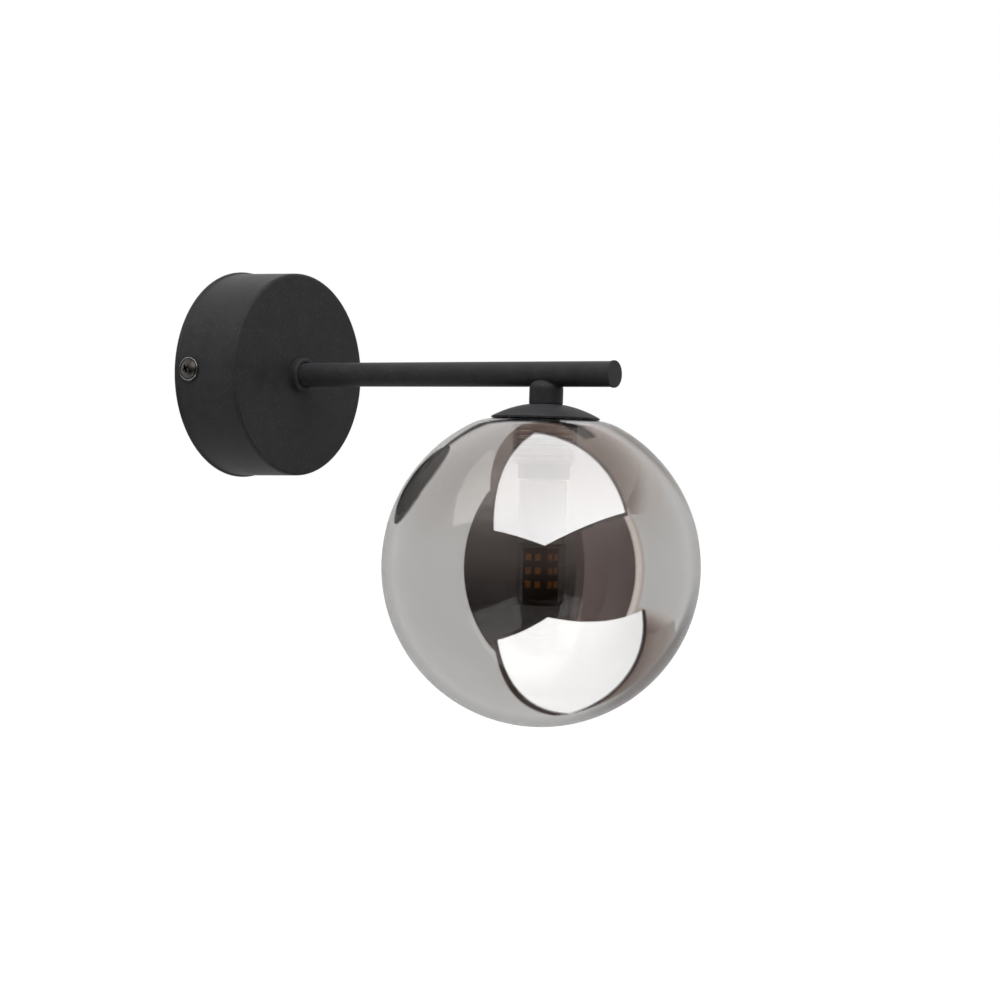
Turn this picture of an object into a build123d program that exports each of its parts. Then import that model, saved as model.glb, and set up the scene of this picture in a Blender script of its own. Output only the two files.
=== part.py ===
from build123d import *
import math
import os

# Globe wall sconce, in millimetres. The wall is the plane Y = 0 and the room lies on its -Y side, +Z is
# up, and the origin is the middle of the canopy's back. A depth is a distance from the wall, so depth d
# is the plane Y = -d. A height is a Z value, counted from the arm's axis.

# Canopy: a pressed steel cup with a little draft and a rim that flares at the wall
canopy_depth = 37.2
canopy_rear_radius = 52.0
canopy_front_radius = 51.2
canopy_wall = 1.2
canopy_edge_round = 1.6
rim_flare = 0.8
rim_width = 1.8
rim_edge = 0.6

# Flanged cross-head screws through the canopy's sides
side_screw_depth = 9.0
side_screw_radius = 2.5
side_screw_length = 10.0
side_head_radius = 5.9
side_head_height = 3.1
side_flange_height = 0.9
side_dome_radius = 4.9
side_recess_span = 5.2
side_recess_turn = 12.0

# Wall plate: a strap with two ears, and an upright tongue for the terminals
plate_thickness = 2.0
strap_height = 22.0
strap_width = 78.0
ear_height = 13.0
ear_length = 16.0
ear_gap = 0.15
bend_round = 2.0
tongue_width = 30.0
tongue_top = 30.0
tongue_bottom = -39.0
wall_slot_spacing = 60.0
wall_slot_width = 4.6
wall_slot_length = 10.0
cable_hole_radius = 7.5
grommet_bore_radius = 5.0
grommet_flange_radius = 9.5
grommet_lip = 1.4
grommet_round = 0.5
ear_nut_flats = 8.0
ear_nut_height = 4.0

# Terminal block and earth point
block_size = (28.0, 12.0, 18.0)
block_round = 1.0
block_height = -26.0
pole_spacing = 8.5
pole_bore_radius = 1.5
pole_tube_radius = 2.6
terminal_screw_radius = 1.2
terminal_screw_offset = 5.0
terminal_screw_room = 0.6
terminal_screw_sink = 1.0
terminal_slot_width = 0.4
terminal_slot_depth = 0.6
block_screw_radius = 1.5
block_head_radius = 2.7
block_head_height = 2.2
block_head_edge = 0.3
block_well = 3.0
earth_point = (9.0, 22.0)
earth_screw_radius = 2.0
earth_head_radius = 4.0
earth_head_height = 2.4
earth_head_edge = 0.4
earth_washer_radius = 4.4
earth_washer_thickness = 0.7
earth_washer_teeth = 12
tag_thickness = 0.8
tag_barrel_radius = 1.6
tag_barrel_length = 6.0

# Arm: a tube that stands in a collar on the canopy's face, with a plug in its free end
drop_depth = 186.2
arm_overhang = 36.2
arm_radius = 6.0
arm_wall = 1.0
collar_wall = 2.0
collar_height = 4.0
collar_floor = 1.2
collar_round = 1.3
tube_gap = 0.5
plug_lip = 0.35
plug_thickness = 1.2
plug_spigot = 8.0
plug_round = 0.3
plug_chamfer = 0.6
nipple_bore_radius = 3.5
arm_nipple_reach = 11.5
arm_nut_height = 4.0
nut_extra_flats = 4.0
lock_washer_thickness = 0.8
lock_washer_lip = 2.6
lock_washer_teeth = 16
nipple_stick_out = 1.0
neck_nipple_sink = 1.0

# Neck and cap: a boss coped round the tube, and a shallow dome below it
neck_lip = 2.0
neck_top = -2.6
neck_round = 4.6
neck_bottom = -14.2
neck_chamfer = 0.4
cap_radius = 25.5
cap_dome_radius = 52.0
cap_wall = 1.0
cap_rim_edge = 0.74

# Lampholder: a skirt with a coarse outside thread for the globe, and a shell that takes the lamp
roof_thickness = 2.4
roof_boss_radius = 7.5
roof_gap = 0.6
flange_width = 3.8
flange_thickness = 1.5
skirt_radius = 13.7
skirt_margin = 0.3
nose_radius = 12.15
holder_bore_radius = 9.6
holder_nut_height = 2.5
holder_nipple_stick_out = 0.5
block_clearance = 0.4
contact_block_height = 4.4
contact_ring_depth = 8.6
contact_thickness = 0.6
contact_width = 3.8
side_contact_foot = 3.0
wire_hole_depth = 2.6
shell_radius = 7.25
shell_wall = 0.4
shell_recess = 2.7

# Globe: a smoked glass ball, flattened at the top, with a screwed port that hangs inside it
globe_radius = 75.0
globe_flat = 5.66
globe_shoulder = 27.0
globe_wall = 1.8
port_wall = 1.2
port_depth = 21.0
port_edge_round = 0.5
rim_gap = 0.3
gasket_thickness = 1.4
gasket_bore_gap = 0.5

# Lamp: a screw cap, a round driver housing and a square tower of chips under a clear cover
lamp_cap_length = 24.0
lamp_thread_radius = 6.95
lamp_shell_wall = 0.35
lamp_tip_radius = 2.4
lamp_tip_height = 1.0
lamp_tip_round = 0.6
insulator_height = 2.9
insulator_skirt = 1.0
insulator_lip = 0.7
lamp_collar_gap = 0.7
housing_radius = 11.25
housing_wall = 1.5
housing_roof = 2.0
housing_round = 1.2
housing_plug = 5.0
housing_length = 31.5
housing_step = 2.0
lamp_base_thickness = 2.0
driver_board_size = (16.0, 1.2, 18.0)
capacitor_radius = 3.2
capacitor_length = 10.0
capacitor_stand = 2.0
capacitor_round = 0.5
tower_side = 12.1
tower_length = 23.1
board_thickness = 1.2
chip_side = 3.4
chip_thickness = 0.8
chip_columns = 2
chip_rows = 3
chip_column_pitch = 5.1
chip_row_pitch = 6.4
chip_first_row = 4.4
cover_wall = 0.9
cover_head_room = 4.0
cover_end_round = 3.0

# Shares of a screw's or nut's own size that stay alike on all of them
recess_slot_share = 0.22
recess_depth_share = 0.62
shank_chamfer_share = 0.25
head_dome_share = 0.9
nut_corner_ease = 0.35
tooth_notch_radius = 0.4

# Wires and clearances
wire_radius = 0.9
wire_offset = 1.8
wire_entry = 5.0
wire_end_gap = 0.4
lamp_wire_bends = (6.5, 14.0, 5.5)
earth_wire_bends = (10.0, 8.0, 8.0)
earth_wire_bow = (5.0, 3.0)
screw_gap = 0.3
nipple_gap = 0.2
thread_gap = 0.05
globe_thread_gap = 0.3
slip_gap = 0.1

# Places that follow from the sizes above
nipple_radius = arm_radius - arm_wall - thread_gap
nipple_hole_radius = nipple_radius + nipple_gap
nut_flats = 2 * nipple_radius + nut_extra_flats
arm_end = drop_depth + arm_overhang
tube_start = canopy_depth + collar_floor
canopy_inside = canopy_depth - canopy_wall
rim_radius = canopy_rear_radius + rim_flare
nut_depth = canopy_inside - lock_washer_thickness
nipple_depth = nut_depth - arm_nut_height - nipple_stick_out
neck_radius = arm_radius + neck_lip
block_screw_place = (pole_spacing / 2, block_height)

drop_plane = Plane.XZ.offset(drop_depth)
drop_axis = Axis((0, -drop_depth, 0), (0, 0, 1))


def level(height):
    """The horizontal plane at a height, centred on the axis of the globe."""
    return Plane((0, -drop_depth, height))


def canopy_radius(depth):
    """Outside radius of the canopy's wall at a depth."""
    return canopy_rear_radius + (canopy_front_radius - canopy_rear_radius) * depth / canopy_depth


def polar(centre, radius, angle):
    """A point of a section, at an angle from straight up."""
    turn = math.radians(angle)
    return (centre[0] + radius * math.sin(turn), centre[1] + radius * math.cos(turn))


def ring(plane, outer, inner, length):
    """A plain round tube or washer that stands on a plane."""
    with BuildPart() as piece:
        with BuildSketch(plane):
            Circle(outer)
            Circle(inner, mode=Mode.SUBTRACT)
        extrude(amount=length)
    return piece


def hex_nut(plane, flats, bore, height):
    """A hexagon nut that stands on a plane, with its outer corners eased."""
    with BuildPart() as piece:
        with BuildSketch(plane):
            RegularPolygon(flats / 2, 6, major_radius=False)
        extrude(amount=height)
        with BuildSketch(plane):
            Circle(flats / 2 + nut_corner_ease)
        extrude(amount=height, mode=Mode.INTERSECT)
        with BuildSketch(plane):
            Circle(bore)
        extrude(amount=height, mode=Mode.SUBTRACT)
    return piece


def cross_screw(flange_radius, flange_height, dome_radius, head_height, thread_radius, length, span):
    """A screw with its head above the XY plane, its shank below it and a cross recess in its top."""
    slot_width = span * recess_slot_share
    rise = head_height - flange_height
    ball_radius = (dome_radius ** 2 + rise ** 2) / (2 * rise)
    ball_angle = math.degrees(math.asin(dome_radius / ball_radius))
    with BuildPart() as piece:
        with BuildSketch(Plane.XZ):
            with BuildLine():
                Polyline((0, head_height), (0, 0), (flange_radius, 0), (flange_radius, flange_height),
                         (dome_radius, flange_height))
                ThreePointArc((dome_radius, flange_height),
                              polar((0, head_height - ball_radius), ball_radius, ball_angle / 2),
                              (0, head_height))
            make_face()
        revolve(axis=Axis.Z)
        with BuildSketch(Plane.XY):
            Circle(thread_radius)
        extrude(amount=-length)
        chamfer(piece.edges().sort_by(Axis.Z)[0], thread_radius * shank_chamfer_share)
        with BuildSketch(Plane.XY.offset(head_height)):
            Rectangle(span, slot_width)
            Rectangle(slot_width, span)
        extrude(amount=-head_height * recess_depth_share, mode=Mode.SUBTRACT)
    return piece


def wire(points, radii):
    """An insulated wire along straight runs joined by tangent arcs."""
    with BuildPart() as piece:
        with BuildLine() as route:
            FilletPolyline(*points, radius=radii)
        path = route.wire()
        with BuildSketch(Plane(origin=path @ 0, z_dir=path % 0)):
            Circle(wire_radius)
        sweep()
    ideal = math.pi * wire_radius ** 2 * path.length
    fill = piece.part.volume / ideal
    print(f"wire {path.length:.1f} long, bends {radii}, volume {fill:.4f} of its section times its length")
    return piece


# --- Canopy and wall plate ---

with BuildPart() as canopy:
    with BuildSketch():
        with BuildLine():
            Polyline((0, -canopy_depth), (canopy_front_radius, -canopy_depth),
                     (canopy_radius(rim_width), -rim_width), (rim_radius, -rim_edge),
                     (rim_radius, 0), (canopy_rear_radius - canopy_wall, 0),
                     (canopy_front_radius - canopy_wall, -canopy_inside), (0, -canopy_inside), close=True)
        section = make_face()
        outer_corner = (canopy_front_radius, -canopy_depth)
        inner_corner = (canopy_front_radius - canopy_wall, -canopy_inside)
        fillet(section.vertices().sort_by_distance(outer_corner)[0], canopy_edge_round)
        fillet(section.vertices().sort_by_distance(inner_corner)[0], canopy_edge_round - canopy_wall)
    revolve(axis=Axis.Y)
    with BuildSketch(Plane.XZ.offset(canopy_depth)):
        Circle(nipple_hole_radius)
    extrude(amount=-canopy_wall, mode=Mode.SUBTRACT)
    with BuildSketch(Plane.YZ):
        with Locations((-side_screw_depth, 0)):
            Circle(side_screw_radius + screw_gap)
    extrude(amount=canopy_rear_radius, both=True, mode=Mode.SUBTRACT)

ear_room = canopy_radius(ear_length) - canopy_wall
ear_face = math.sqrt(ear_room ** 2 - (ear_height / 2) ** 2) - ear_gap
ear_back = ear_face - plate_thickness
screw_seat = canopy_radius(side_screw_depth - side_head_radius) + thread_gap

with BuildPart() as wall_plate:
    with BuildSketch():
        with BuildLine():
            Polyline((-ear_face, -ear_length), (-ear_face, 0), (ear_face, 0), (ear_face, -ear_length),
                     (ear_back, -ear_length), (ear_back, -plate_thickness),
                     (-ear_back, -plate_thickness), (-ear_back, -ear_length), close=True)
        profile = make_face()
        fillet(profile.vertices().group_by(Axis.Y)[-1], bend_round)
    extrude(amount=tongue_top - tongue_bottom, both=True)
    with BuildSketch(Plane.XZ) as outline:
        Rectangle(2 * ear_face, ear_height)
        Rectangle(strap_width, strap_height)
        with Locations((0, (tongue_top + tongue_bottom) / 2)):
            Rectangle(tongue_width, tongue_top - tongue_bottom)
        fillet(outline.vertices(), bend_round)
    extrude(amount=ear_length, mode=Mode.INTERSECT)
    with BuildSketch(Plane.XZ):
        Circle(cable_hole_radius)
        with GridLocations(wall_slot_spacing, 0, 2, 1):
            SlotOverall(wall_slot_length, wall_slot_width)
        with Locations(block_screw_place):
            Circle(block_screw_radius + thread_gap)
        with Locations(earth_point):
            Circle(earth_screw_radius + thread_gap)
    extrude(amount=plate_thickness, mode=Mode.SUBTRACT)
    with BuildSketch(Plane.YZ):
        with Locations((-side_screw_depth, 0)):
            Circle(side_screw_radius + thread_gap)
    extrude(amount=ear_face, both=True, mode=Mode.SUBTRACT)

with BuildPart() as ear_nuts:
    for side in (1, -1):
        seat = Plane(origin=(side * ear_back, -side_screw_depth, 0), z_dir=(-side, 0, 0))
        add(hex_nut(seat, ear_nut_flats, side_screw_radius + thread_gap, ear_nut_height).part)

side_screw = cross_screw(side_head_radius, side_flange_height, side_dome_radius, side_head_height,
                         side_screw_radius, side_screw_length, side_recess_span)
with BuildPart() as canopy_screws:
    for side in (1, -1):
        seat = Plane(origin=(side * screw_seat, -side_screw_depth, 0), x_dir=(0, 1, 0), z_dir=(side, 0, 0))
        with Locations(seat.location):
            add(side_screw.part, rotation=(0, 0, side_recess_turn))

grommet_sleeve_radius = cable_hole_radius - slip_gap
grommet_front = plate_thickness + grommet_lip
with BuildPart() as cable_grommet:
    with BuildSketch():
        with BuildLine():
            Polyline((grommet_bore_radius, 0), (grommet_sleeve_radius, 0),
                     (grommet_sleeve_radius, -plate_thickness), (grommet_flange_radius, -plate_thickness),
                     (grommet_flange_radius, -grommet_front), (grommet_bore_radius, -grommet_front),
                     close=True)
        make_face()
    revolve(axis=Axis.Y)
    fillet(cable_grommet.edges().filter_by(GeomType.CIRCLE).sort_by(Axis.Y)[0:2], grommet_round)

# --- Terminal block and earth point, on the tongue ---

block_width, block_depth, block_tall = block_size
block_front = plate_thickness + block_depth
pole_depth = plate_thickness + block_depth / 2
pole_places = [(column * pole_spacing, row * terminal_screw_offset + block_height)
               for column in (-1, 0, 1) for row in (-1, 1)]
poles = Plane((0, -pole_depth, block_height - block_tall / 2), x_dir=(1, 0, 0), z_dir=(0, 0, 1))

with BuildPart() as terminal_block:
    with BuildSketch(Plane.XZ.offset(plate_thickness)):
        with Locations((0, block_height)):
            Rectangle(block_width, block_tall)
    extrude(amount=block_depth)
    fillet(terminal_block.faces().sort_by(Axis.Y)[0].edges(), block_round)
    with BuildSketch(poles):
        with GridLocations(pole_spacing, 0, 3, 1):
            Circle(pole_tube_radius)
    extrude(amount=block_tall, mode=Mode.SUBTRACT)
    with BuildSketch(Plane.XZ.offset(pole_depth)):
        with Locations(*pole_places):
            Circle(terminal_screw_radius + terminal_screw_room)
    extrude(amount=block_depth / 2, mode=Mode.SUBTRACT)
    with BuildSketch(Plane.XZ.offset(plate_thickness)):
        with Locations(block_screw_place):
            Circle(block_screw_radius + slip_gap)
    extrude(amount=block_depth, mode=Mode.SUBTRACT)
    with BuildSketch(Plane.XZ.offset(block_front)):
        with Locations(block_screw_place):
            Circle(block_head_radius + screw_gap)
    extrude(amount=-block_well, mode=Mode.SUBTRACT)

with BuildPart() as terminal_tubes:
    with BuildSketch(poles):
        with GridLocations(pole_spacing, 0, 3, 1):
            Circle(pole_tube_radius - thread_gap)
            Circle(pole_bore_radius, mode=Mode.SUBTRACT)
    extrude(amount=block_tall)
    with BuildSketch(Plane.XZ.offset(pole_depth)):
        with Locations(*pole_places):
            Circle(terminal_screw_radius + thread_gap)
    extrude(amount=pole_tube_radius, mode=Mode.SUBTRACT)

terminal_seat = pole_depth + wire_radius + thread_gap
terminal_top = block_front - terminal_screw_sink
with BuildPart() as terminal_screws:
    with BuildSketch(Plane.XZ.offset(terminal_seat)):
        with Locations(*pole_places):
            Circle(terminal_screw_radius)
    extrude(amount=terminal_top - terminal_seat)
    with BuildSketch(Plane.XZ.offset(terminal_top)):
        with Locations(*pole_places):
            Rectangle(2 * terminal_screw_radius, terminal_slot_width)
    extrude(amount=-terminal_slot_depth, mode=Mode.SUBTRACT)

block_head_seat = block_front - block_well
block_fastener = cross_screw(block_head_radius, block_head_edge, block_head_radius * head_dome_share,
                             block_head_height, block_screw_radius, block_head_seat, block_head_radius)
with BuildPart() as block_screw:
    with Locations(Location(Plane.XZ.offset(block_head_seat).location) * Pos(*block_screw_place, 0)):
        add(block_fastener.part)

earth_x, earth_z = earth_point
tag_seat = plate_thickness
washer_seat = tag_seat + tag_thickness
earth_head_seat = washer_seat + earth_washer_thickness
tag_barrel_top = earth_z - earth_washer_radius
tag_barrel_depth = tag_seat + tag_barrel_radius

with BuildPart() as earth_tag:
    with BuildSketch(Plane.XZ.offset(tag_seat)):
        with Locations(earth_point):
            Circle(earth_washer_radius)
        with Locations((earth_x, tag_barrel_top - tag_barrel_length / 2)):
            Rectangle(2 * tag_barrel_radius, tag_barrel_length)
        with Locations((earth_x, tag_barrel_top)):
            Rectangle(2 * tag_barrel_radius, earth_washer_radius)
        with Locations(earth_point):
            Circle(earth_screw_radius + slip_gap, mode=Mode.SUBTRACT)
    extrude(amount=tag_thickness)
    with BuildSketch(Plane((earth_x, -tag_barrel_depth, tag_barrel_top - tag_barrel_length))):
        Circle(tag_barrel_radius)
        Circle(wire_radius + thread_gap, mode=Mode.SUBTRACT)
    extrude(amount=tag_barrel_length)
    with BuildSketch(Plane((earth_x, -tag_barrel_depth, tag_barrel_top - tag_barrel_length))):
        Circle(wire_radius + thread_gap)
    extrude(amount=tag_barrel_length, mode=Mode.SUBTRACT)

with BuildPart() as earth_washer:
    with BuildSketch(Plane.XZ.offset(washer_seat)):
        with Locations(earth_point):
            Circle(earth_washer_radius)
            with PolarLocations(earth_washer_radius, earth_washer_teeth):
                Circle(tooth_notch_radius, mode=Mode.SUBTRACT)
            Circle(earth_screw_radius + slip_gap, mode=Mode.SUBTRACT)
    extrude(amount=earth_washer_thickness)

earth_fastener = cross_screw(earth_head_radius, earth_head_edge, earth_head_radius * head_dome_share,
                             earth_head_height, earth_screw_radius, earth_head_seat, earth_head_radius)
with BuildPart() as earth_screw:
    with Locations(Location(Plane.XZ.offset(earth_head_seat).location) * Pos(*earth_point, 0)):
        add(earth_fastener.part)

# --- Arm ---

with BuildPart() as arm_collar:
    with BuildSketch(Plane.XZ.offset(canopy_depth)):
        Circle(arm_radius + tube_gap + collar_wall)
    extrude(amount=collar_height)
    fillet(arm_collar.edges().sort_by(Axis.Y)[0], collar_round)
    with BuildSketch(Plane.XZ.offset(tube_start)):
        Circle(arm_radius + tube_gap)
    extrude(amount=collar_height, mode=Mode.SUBTRACT)
    with BuildSketch(Plane.XZ.offset(canopy_depth)):
        Circle(nipple_hole_radius)
    extrude(amount=collar_floor, mode=Mode.SUBTRACT)

arm_nipple = ring(Plane.XZ.offset(nipple_depth), nipple_radius, nipple_bore_radius,
                  tube_start + arm_nipple_reach - nipple_depth)
arm_nut = hex_nut(Plane.XZ.offset(nut_depth - arm_nut_height), nut_flats, nipple_radius + thread_gap,
                  arm_nut_height)

with BuildPart() as arm_lock_washer:
    with BuildSketch(Plane.XZ.offset(nut_depth)):
        Circle(nipple_hole_radius + lock_washer_lip)
        with PolarLocations(nipple_hole_radius + lock_washer_lip, lock_washer_teeth):
            Circle(tooth_notch_radius, mode=Mode.SUBTRACT)
        Circle(nipple_hole_radius, mode=Mode.SUBTRACT)
    extrude(amount=lock_washer_thickness)

with BuildPart() as arm_tube:
    with BuildSketch(Plane.XZ.offset(tube_start)):
        Circle(arm_radius)
        Circle(arm_radius - arm_wall, mode=Mode.SUBTRACT)
    extrude(amount=arm_end - tube_start)
    with BuildSketch(level(-arm_radius)):
        Circle(nipple_bore_radius)
    extrude(amount=arm_radius, mode=Mode.SUBTRACT)

with BuildPart() as arm_plug:
    with BuildSketch(Plane.XZ.offset(arm_end)):
        Circle(arm_radius + plug_lip)
    extrude(amount=plug_thickness)
    fillet(arm_plug.edges().sort_by(Axis.Y)[0], plug_round)
    with BuildSketch(Plane.XZ.offset(arm_end - plug_spigot)):
        Circle(arm_radius - arm_wall - thread_gap)
    extrude(amount=plug_spigot)
    chamfer(arm_plug.edges().sort_by(Axis.Y)[-1], plug_chamfer)

# --- Neck and cap ---

neck_nipple_top = -arm_radius - neck_nipple_sink
with BuildPart() as neck:
    with BuildSketch(level(neck_bottom)):
        Circle(neck_radius)
    extrude(amount=neck_top - neck_bottom)
    fillet(neck.edges().sort_by(Axis.Z)[-1], neck_round)
    chamfer(neck.edges().sort_by(Axis.Z)[0], neck_chamfer)
    with BuildSketch(Plane.XZ.offset(drop_depth)):
        Circle(arm_radius + thread_gap)
    extrude(amount=neck_radius, both=True, mode=Mode.SUBTRACT)
    with BuildSketch(level(neck_bottom)):
        Circle(nipple_radius + thread_gap)
    extrude(amount=neck_nipple_top - neck_bottom, mode=Mode.SUBTRACT)
    with BuildSketch(level(neck_bottom)):
        Circle(nipple_bore_radius)
    extrude(amount=-neck_bottom, mode=Mode.SUBTRACT)

# The cap's dome is an arc about dome_centre that ends in a thin upright rim
dome_centre = neck_bottom - math.sqrt(cap_dome_radius ** 2 - neck_radius ** 2)
cap_rim = dome_centre + math.sqrt(cap_dome_radius ** 2 - cap_radius ** 2) - cap_rim_edge
cap_seat = neck_bottom - cap_wall


def cap_skin(inset, last_radius):
    """The dome of the cap's section, a distance inside its outer face, out to a radius."""
    radius = cap_dome_radius - inset
    first = math.degrees(math.asin(neck_radius / cap_dome_radius))
    last = math.degrees(math.asin(last_radius / radius))
    centre = (0, dome_centre)
    dome = ThreePointArc(polar(centre, radius, first), polar(centre, radius, (first + last) / 2),
                         polar(centre, radius, last))
    return dome @ 0, dome @ 1


with BuildPart() as shade_cap:
    with BuildSketch(drop_plane):
        with BuildLine():
            inner_rim = math.sqrt((cap_dome_radius - cap_wall) ** 2 - (cap_rim - dome_centre) ** 2)
            outer_start, outer_end = cap_skin(0, cap_radius)
            inner_start, inner_end = cap_skin(cap_wall, inner_rim)
            Polyline(outer_end, (cap_radius, cap_rim), inner_end)
            Polyline(inner_start, (inner_start.X, cap_seat), (nipple_hole_radius, cap_seat),
                     (nipple_hole_radius, neck_bottom), outer_start)
        make_face()
    revolve(axis=drop_axis)

# --- Lampholder ---

flange_radius = skirt_radius + flange_width
flange_roof = dome_centre + math.sqrt((cap_dome_radius - cap_wall) ** 2 - flange_radius ** 2) - roof_gap
glass_top = min(cap_rim - rim_gap, flange_roof - flange_thickness - gasket_thickness)
flange_under = glass_top + gasket_thickness
flange_top = flange_under + flange_thickness
port_bottom = glass_top - port_depth
skirt_end = port_bottom - skirt_margin
holder_roof = cap_seat - roof_thickness
cap_inside = dome_centre + math.sqrt((cap_dome_radius - cap_wall) ** 2 - skirt_radius ** 2)
holder_shoulder = min(cap_inside, cap_seat) - roof_gap
nut_bottom = holder_roof - holder_nut_height
nipple_bottom = nut_bottom - holder_nipple_stick_out
block_top = nipple_bottom - block_clearance
block_bottom = block_top - contact_block_height
lamp_tip_top = block_bottom - contact_thickness
lamp_collar = lamp_tip_top - lamp_cap_length
holder_end = lamp_collar + lamp_collar_gap
shell_outer = shell_radius + shell_wall
shell_top = block_bottom - 2 * contact_thickness

neck_nipple = ring(level(nipple_bottom), nipple_radius, nipple_bore_radius, neck_nipple_top - nipple_bottom)
holder_nut = hex_nut(level(nut_bottom), nut_flats, nipple_radius + thread_gap, holder_nut_height)

with BuildPart() as holder_body:
    with BuildSketch(drop_plane):
        with BuildLine():
            Polyline((nipple_hole_radius, holder_roof), (nipple_hole_radius, cap_seat),
                     (roof_boss_radius, cap_seat), (skirt_radius, holder_shoulder),
                     (skirt_radius, flange_top), (flange_radius, flange_top), (flange_radius, flange_under),
                     (skirt_radius, flange_under), (skirt_radius, skirt_end), (nose_radius, skirt_end),
                     (nose_radius, holder_end), (holder_bore_radius, holder_end),
                     (holder_bore_radius, holder_roof), close=True)
        make_face()
    revolve(axis=drop_axis)

with BuildPart() as contact_block:
    with BuildSketch(level(block_bottom)):
        Circle(holder_bore_radius - slip_gap)
    extrude(amount=contact_block_height)
    with BuildSketch(level(block_bottom)):
        Circle(holder_bore_radius - slip_gap)
        Circle(shell_outer + thread_gap, mode=Mode.SUBTRACT)
    extrude(amount=-contact_ring_depth)
    with BuildSketch(level(block_top)):
        with GridLocations(2 * wire_offset, 0, 2, 1):
            Circle(wire_radius + slip_gap)
    extrude(amount=-wire_hole_depth, mode=Mode.SUBTRACT)

holder_shell = ring(level(holder_end + shell_recess), shell_outer, shell_radius,
                    shell_top - holder_end - shell_recess)

with BuildPart() as centre_contact:
    with BuildSketch(level(block_bottom)):
        Rectangle(2 * lamp_tip_radius, contact_width)
    extrude(amount=-contact_thickness)

with BuildPart() as side_contact:
    with BuildSketch(level(block_bottom)):
        Circle(shell_outer)
        with Locations((shell_outer, 0)):
            Rectangle(2 * side_contact_foot, contact_width, mode=Mode.INTERSECT)
    extrude(amount=-contact_thickness)
    with BuildSketch(level(block_bottom)):
        Circle(shell_outer)
        Circle(shell_radius, mode=Mode.SUBTRACT)
        with Locations((shell_outer, 0)):
            Rectangle(2 * side_contact_foot, contact_width, mode=Mode.INTERSECT)
    extrude(amount=-2 * contact_thickness)

# --- Globe and its gasket ---

port_bore = skirt_radius + globe_thread_gap
port_outside = port_bore + port_wall
globe_centre = (0, glass_top + globe_flat - globe_radius)
shoulder_arm = globe_radius - globe_shoulder
shoulder_rise = shoulder_arm - globe_flat
shoulder_centre = (math.sqrt(shoulder_arm ** 2 - shoulder_rise ** 2), globe_centre[1] + shoulder_rise)
shoulder_angle = math.degrees(math.acos(shoulder_rise / shoulder_arm))


def globe_skin(inset):
    """The flat, shoulder and ball of the globe's section, a distance inside its outer face."""
    shoulder = ThreePointArc(polar(shoulder_centre, globe_shoulder - inset, 0),
                             polar(shoulder_centre, globe_shoulder - inset, shoulder_angle / 2),
                             polar(shoulder_centre, globe_shoulder - inset, shoulder_angle))
    ball = ThreePointArc(shoulder @ 1,
                         polar(globe_centre, globe_radius - inset, 90),
                         polar(globe_centre, globe_radius - inset, 180))
    return shoulder @ 0, ball @ 1


with BuildPart() as globe:
    with BuildSketch(drop_plane):
        with BuildLine():
            outer_top, outer_foot = globe_skin(0)
            inner_top, inner_foot = globe_skin(globe_wall)
            Line(outer_foot, inner_foot)
            Polyline(inner_top, (port_outside, inner_top.Y), (port_outside, port_bottom),
                     (port_bore, port_bottom), (port_bore, glass_top), outer_top)
        section = make_face()
        fillet(section.vertices().sort_by_distance((port_outside, inner_top.Y))[0], globe_wall)
        fillet(section.vertices().sort_by_distance((port_outside, port_bottom))[0], port_edge_round)
        fillet(section.vertices().sort_by_distance((port_bore, glass_top))[0], port_edge_round)
    revolve(axis=drop_axis)

globe_gasket = ring(level(glass_top), flange_radius, skirt_radius + gasket_bore_gap, gasket_thickness)

# --- Lamp ---

tip_seat = lamp_tip_top - lamp_tip_height
lamp_shell_top = tip_seat - insulator_height
lamp_shell_inside = lamp_thread_radius - lamp_shell_wall
housing_end = lamp_collar - housing_length
lamp_base_top = housing_end + lamp_base_thickness
tower_end = housing_end - tower_length
cover_top = housing_end + housing_step
cover_end = tower_end - cover_head_room
step_radius = housing_radius - cover_wall - slip_gap

lamp_shell = ring(level(lamp_collar), lamp_thread_radius, lamp_shell_inside,
                  lamp_shell_top - lamp_collar)

insulator_foot = lamp_shell_top - insulator_skirt
insulator_top_radius = lamp_tip_radius + insulator_lip

with BuildPart() as lamp_insulator:
    with BuildSketch(drop_plane):
        with BuildLine():
            Polyline((0, insulator_foot), (lamp_shell_inside - thread_gap, insulator_foot),
                     (lamp_shell_inside - thread_gap, lamp_shell_top), (insulator_top_radius, tip_seat),
                     (0, tip_seat), close=True)
        make_face()
    revolve(axis=drop_axis)

with BuildPart() as lamp_tip:
    with BuildSketch(level(tip_seat)):
        Circle(lamp_tip_radius)
    extrude(amount=lamp_tip_height)
    fillet(lamp_tip.edges().sort_by(Axis.Z)[-1], lamp_tip_round)

with BuildPart() as lamp_housing:
    with BuildSketch(drop_plane):
        with BuildLine():
            Polyline((0, lamp_collar + housing_plug),
                     (lamp_shell_inside - thread_gap, lamp_collar + housing_plug),
                     (lamp_shell_inside - thread_gap, lamp_collar), (housing_radius, lamp_collar),
                     (housing_radius, cover_top), (step_radius, cover_top), (step_radius, housing_end),
                     (step_radius - housing_wall, housing_end),
                     (step_radius - housing_wall, lamp_collar - housing_roof),
                     (0, lamp_collar - housing_roof), close=True)
        section = make_face()
        fillet(section.vertices().sort_by_distance((housing_radius, lamp_collar))[0], housing_round)
    revolve(axis=drop_axis)

with BuildPart() as lamp_base:
    with BuildSketch(level(housing_end)):
        Circle(step_radius - housing_wall - thread_gap)
    extrude(amount=lamp_base_thickness)

board_width, board_thick, board_tall = driver_board_size
with BuildPart() as driver_board:
    with BuildSketch(level(lamp_base_top)):
        Rectangle(board_width, board_thick)
    extrude(amount=board_tall)

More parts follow.
